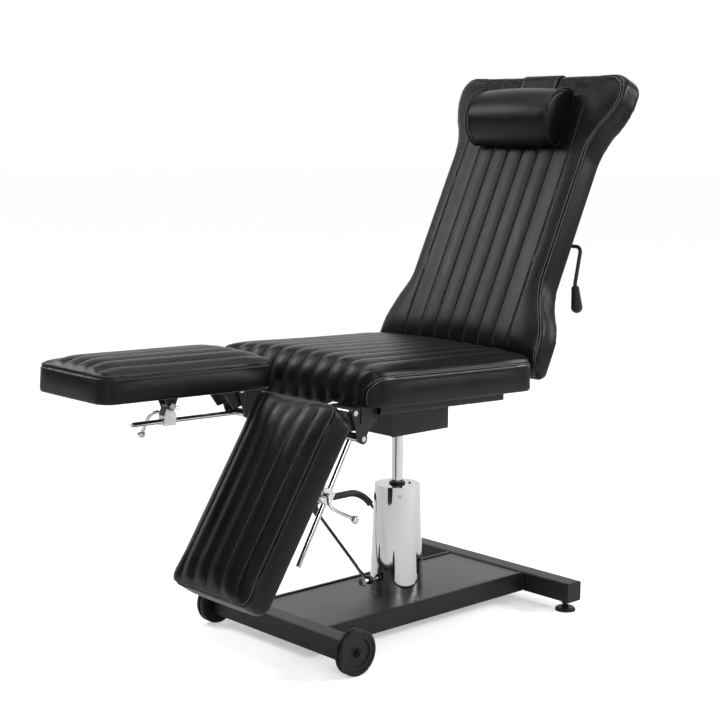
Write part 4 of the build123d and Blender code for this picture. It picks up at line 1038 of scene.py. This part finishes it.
def build_hardware():
    """Every small piece, body by body."""
    screw("shroud_screw", at(0.79 * shroud_r, -0.608 * shroud_r, 315), Vector((0.79, -0.608, 0.04)), "base")
    screw("cap_screw", at(18, 25, 337), zed, "base", 2.4 * mm, moulded)
    nut = bmesh.new()
    drum(nut, at(0, -120.5, 107), Vector((0, 1, 0)), 10.5 * mm, 7 * mm, sides=6)
    drum(nut, at(0, -113.5, 107), Vector((0, 1, 0)), 11.5 * mm, 1.5 * mm)
    small_piece("pedal_nut", nut, zinc, "pedal")
    collar = bmesh.new()
    drum(collar, at(0, -97, 107), Vector((0, 1, 0)), 10.5 * mm, 9 * mm)
    small_piece("pedal_collar", collar, paint, "pedal")
    for name, place, turn in (
        ("left", at(-182.2, -546.5, 568.3), -leg_rise),
        ("right", at(217.8, -440.5, 419.8), leg_down - leg_rise),
    ):
        spring_clip(f"clip_{name}", place, Matrix.Rotation(turn, 3, "X"), f"leg_rest_{name}")
    corners = []
    for side in (-1, 1):
        for y in (-341.2, 323.2):
            corners.append([at(side * 133, y, 30), at(side * 133, y, 73)])
    weld("base_welds", corners, "base")
    front_bead = [[at(side * 240, -299, 571), at(side * 240, -299, 593)] for side in (-1, 1)]
    box_top = [[at(side * 80, -90, 571.5), at(side * 80, 90, 566.5)] for side in (-1, 1)]
    weld("seat_welds", front_bead + box_top, "seat")
    bars = []
    for side in (-1, 1):
        for y in (0.134, 0.264, 0.394, 0.524):
            ends = [Vector((side * 0.11, y - 0.018, -0.006)), Vector((side * 0.11, y + 0.018, -0.006))]
            bars.append([back_place @ end for end in ends])
    weld("back_welds", bars, "back")
    low = -60 * mm
    under_seat = corner_path(-0.257, 0.257, -0.329, 0.159, 0.02, 0.02)
    staples("seat_staples", "seat_board", seat_place, [(x, y, low) for x, y in under_seat], "seat")
    under_leg = corner_path(-0.115, 0.115, -0.44, -0.023, 0.02, 0.02)
    for name, side in (("left", -1), ("right", 1)):
        place = leg_place[name] @ Matrix.Translation((side * leg_middle, 0, 0))
        path = [(x, y, low) for x, y in under_leg]
        staples(f"leg_staples_{name}", f"leg_board_{name}", place, path, f"leg_rest_{name}")
    under_back = [(x, y, low) for x, y in back_ring(23 * mm, back_low + 57 * mm)]
    staples("back_staples", "back_board", back_place, under_back, "back")


build_hardware()

# %% [markdown]
# The chair stands in a plain white studio. The camera sees white behind it, and soft lamps model the
# black vinyl. Mirror-like chrome also sees the white room, with one darker side that gives it streaks.

# %% Studio
floor_glow = 0.45
room_dim = 0.03
room_diffuse = 0.35


def build_floor():
    """White floor that keeps a soft shadow."""
    shape = bmesh.new()
    bmesh.ops.create_grid(shape, x_segments=1, y_segments=1, size=40)
    mesh = bpy.data.meshes.new("studio_floor")
    shape.to_mesh(mesh)
    shape.free()
    floor = bpy.data.objects.new("studio_floor", mesh)
    scene.collection.objects.link(floor)
    white = bpy.data.materials.new("white floor")
    white.use_nodes = True
    tree = white.node_tree
    shader = tree.nodes["Principled BSDF"]
    shader.inputs["Base Color"].default_value = (0.85, 0.85, 0.85, 1)
    shader.inputs["Roughness"].default_value = 0.9
    shader.inputs["Specular IOR Level"].default_value = 0.0
    rays = tree.nodes.new("ShaderNodeLightPath")
    shader.inputs["Emission Color"].default_value = (1, 1, 1, 1)
    glow = math_node(tree, "MULTIPLY", rays.outputs["Is Camera Ray"], floor_glow)
    tree.links.new(glow, shader.inputs["Emission Strength"])
    mesh.materials.append(white)


def build_world():
    """White to the camera, and dimmer to the surfaces, with a bright wall before and behind."""
    world = bpy.data.worlds.new("white studio")
    scene.world = world
    world.use_nodes = True
    tree = world.node_tree
    back = tree.nodes["Background"]
    rays = tree.nodes.new("ShaderNodeLightPath")
    direction = tree.nodes.new("ShaderNodeTexCoord").outputs["Generated"]
    toward = tree.nodes.new("ShaderNodeVectorMath")
    toward.operation = "DOT_PRODUCT"
    toward.inputs[1].default_value = (0.72, -0.69, 0.1)
    tree.links.new(direction, toward.inputs[0])

    walls = []
    for start, end, bright in ((-0.3, -0.85, 1.0), (0.25, 0.95, 0.5)):
        wall = tree.nodes.new("ShaderNodeMapRange")
        wall.interpolation_type = "SMOOTHSTEP"
        for label, value in zip(("From Min", "From Max", "To Min", "To Max"), (start, end, 0.0, bright)):
            wall.inputs[label].default_value = value
        tree.links.new(toward.outputs["Value"], wall.inputs["Value"])
        walls.append(wall.outputs["Result"])
    room = math_node(tree, "ADD", math_node(tree, "ADD", *walls), room_dim)
    seen = math_node(tree, "MAXIMUM", rays.outputs["Is Camera Ray"], rays.outputs["Is Transmission Ray"])
    mirrored = math_node(tree, "MULTIPLY", rays.outputs["Is Glossy Ray"], room)
    diffuse = math_node(tree, "MULTIPLY", rays.outputs["Is Diffuse Ray"], room_diffuse)
    strength = math_node(tree, "ADD", math_node(tree, "ADD", seen, mirrored), diffuse)
    tree.links.new(strength, back.inputs["Strength"])
    back.inputs["Color"].default_value = (1, 1, 1, 1)


def build_lamps():
    """A soft sun for the plain level, and four softboxes for the sheen."""
    target = Vector((0, 0, 0.75))
    for name, place, power, wide in (
        ("sun", (-1.2, -1.6, 5.0), 1.0, 40), ("over", (0.3, 0.6, 3.4), 34, 1.8),
        ("left", (-2.6, -1.3, 2.8), 42, 0.9), ("front", (3.0, -1.9, 2.1), 30, 0.8),
        ("rear", (2.6, 2.6, 2.2), 90, 0.9),
    ):
        lamp = bpy.data.lights.new(name, "SUN" if name == "sun" else "AREA")
        lamp.energy = power
        if name == "sun":
            lamp.angle = math.radians(wide)
        else:
            lamp.size = wide
        holder = bpy.data.objects.new(name, lamp)
        scene.collection.objects.link(holder)
        holder.location = place
        holder.rotation_euler = (target - Vector(place)).to_track_quat("-Z", "Y").to_euler()


build_floor()
build_world()
build_lamps()

# %% [markdown]
# The camera stands where the photographer stood: a little above seat height, to the right of the feet.

# %% Camera
def build_camera():
    """Camera from its place, compass angle, downward pitch and roll."""
    place = Vector((2.6466, -2.5645 + column_y, 1.1857))
    compass = math.radians(47.364)
    pitch = math.radians(8.363)
    roll = math.radians(0.337)
    level = math.cos(pitch)
    ahead = Vector((-math.sin(compass) * level, math.cos(compass) * level, -math.sin(pitch)))
    right = Vector((math.cos(compass), math.sin(compass), 0))
    up = right.cross(ahead)
    right, up = right * math.cos(roll) + up * math.sin(roll), up * math.cos(roll) - right * math.sin(roll)
    lens = bpy.data.cameras.new("camera")
    lens.lens = 76.1
    lens.sensor_width = 36
    camera = bpy.data.objects.new("camera", lens)
    scene.collection.objects.link(camera)
    turn = Matrix((right, up, -ahead)).transposed().to_4x4()
    camera.matrix_world = Matrix.Translation(place) @ turn
    scene.camera = camera


build_camera()
scene.view_settings.view_transform = "Standard"
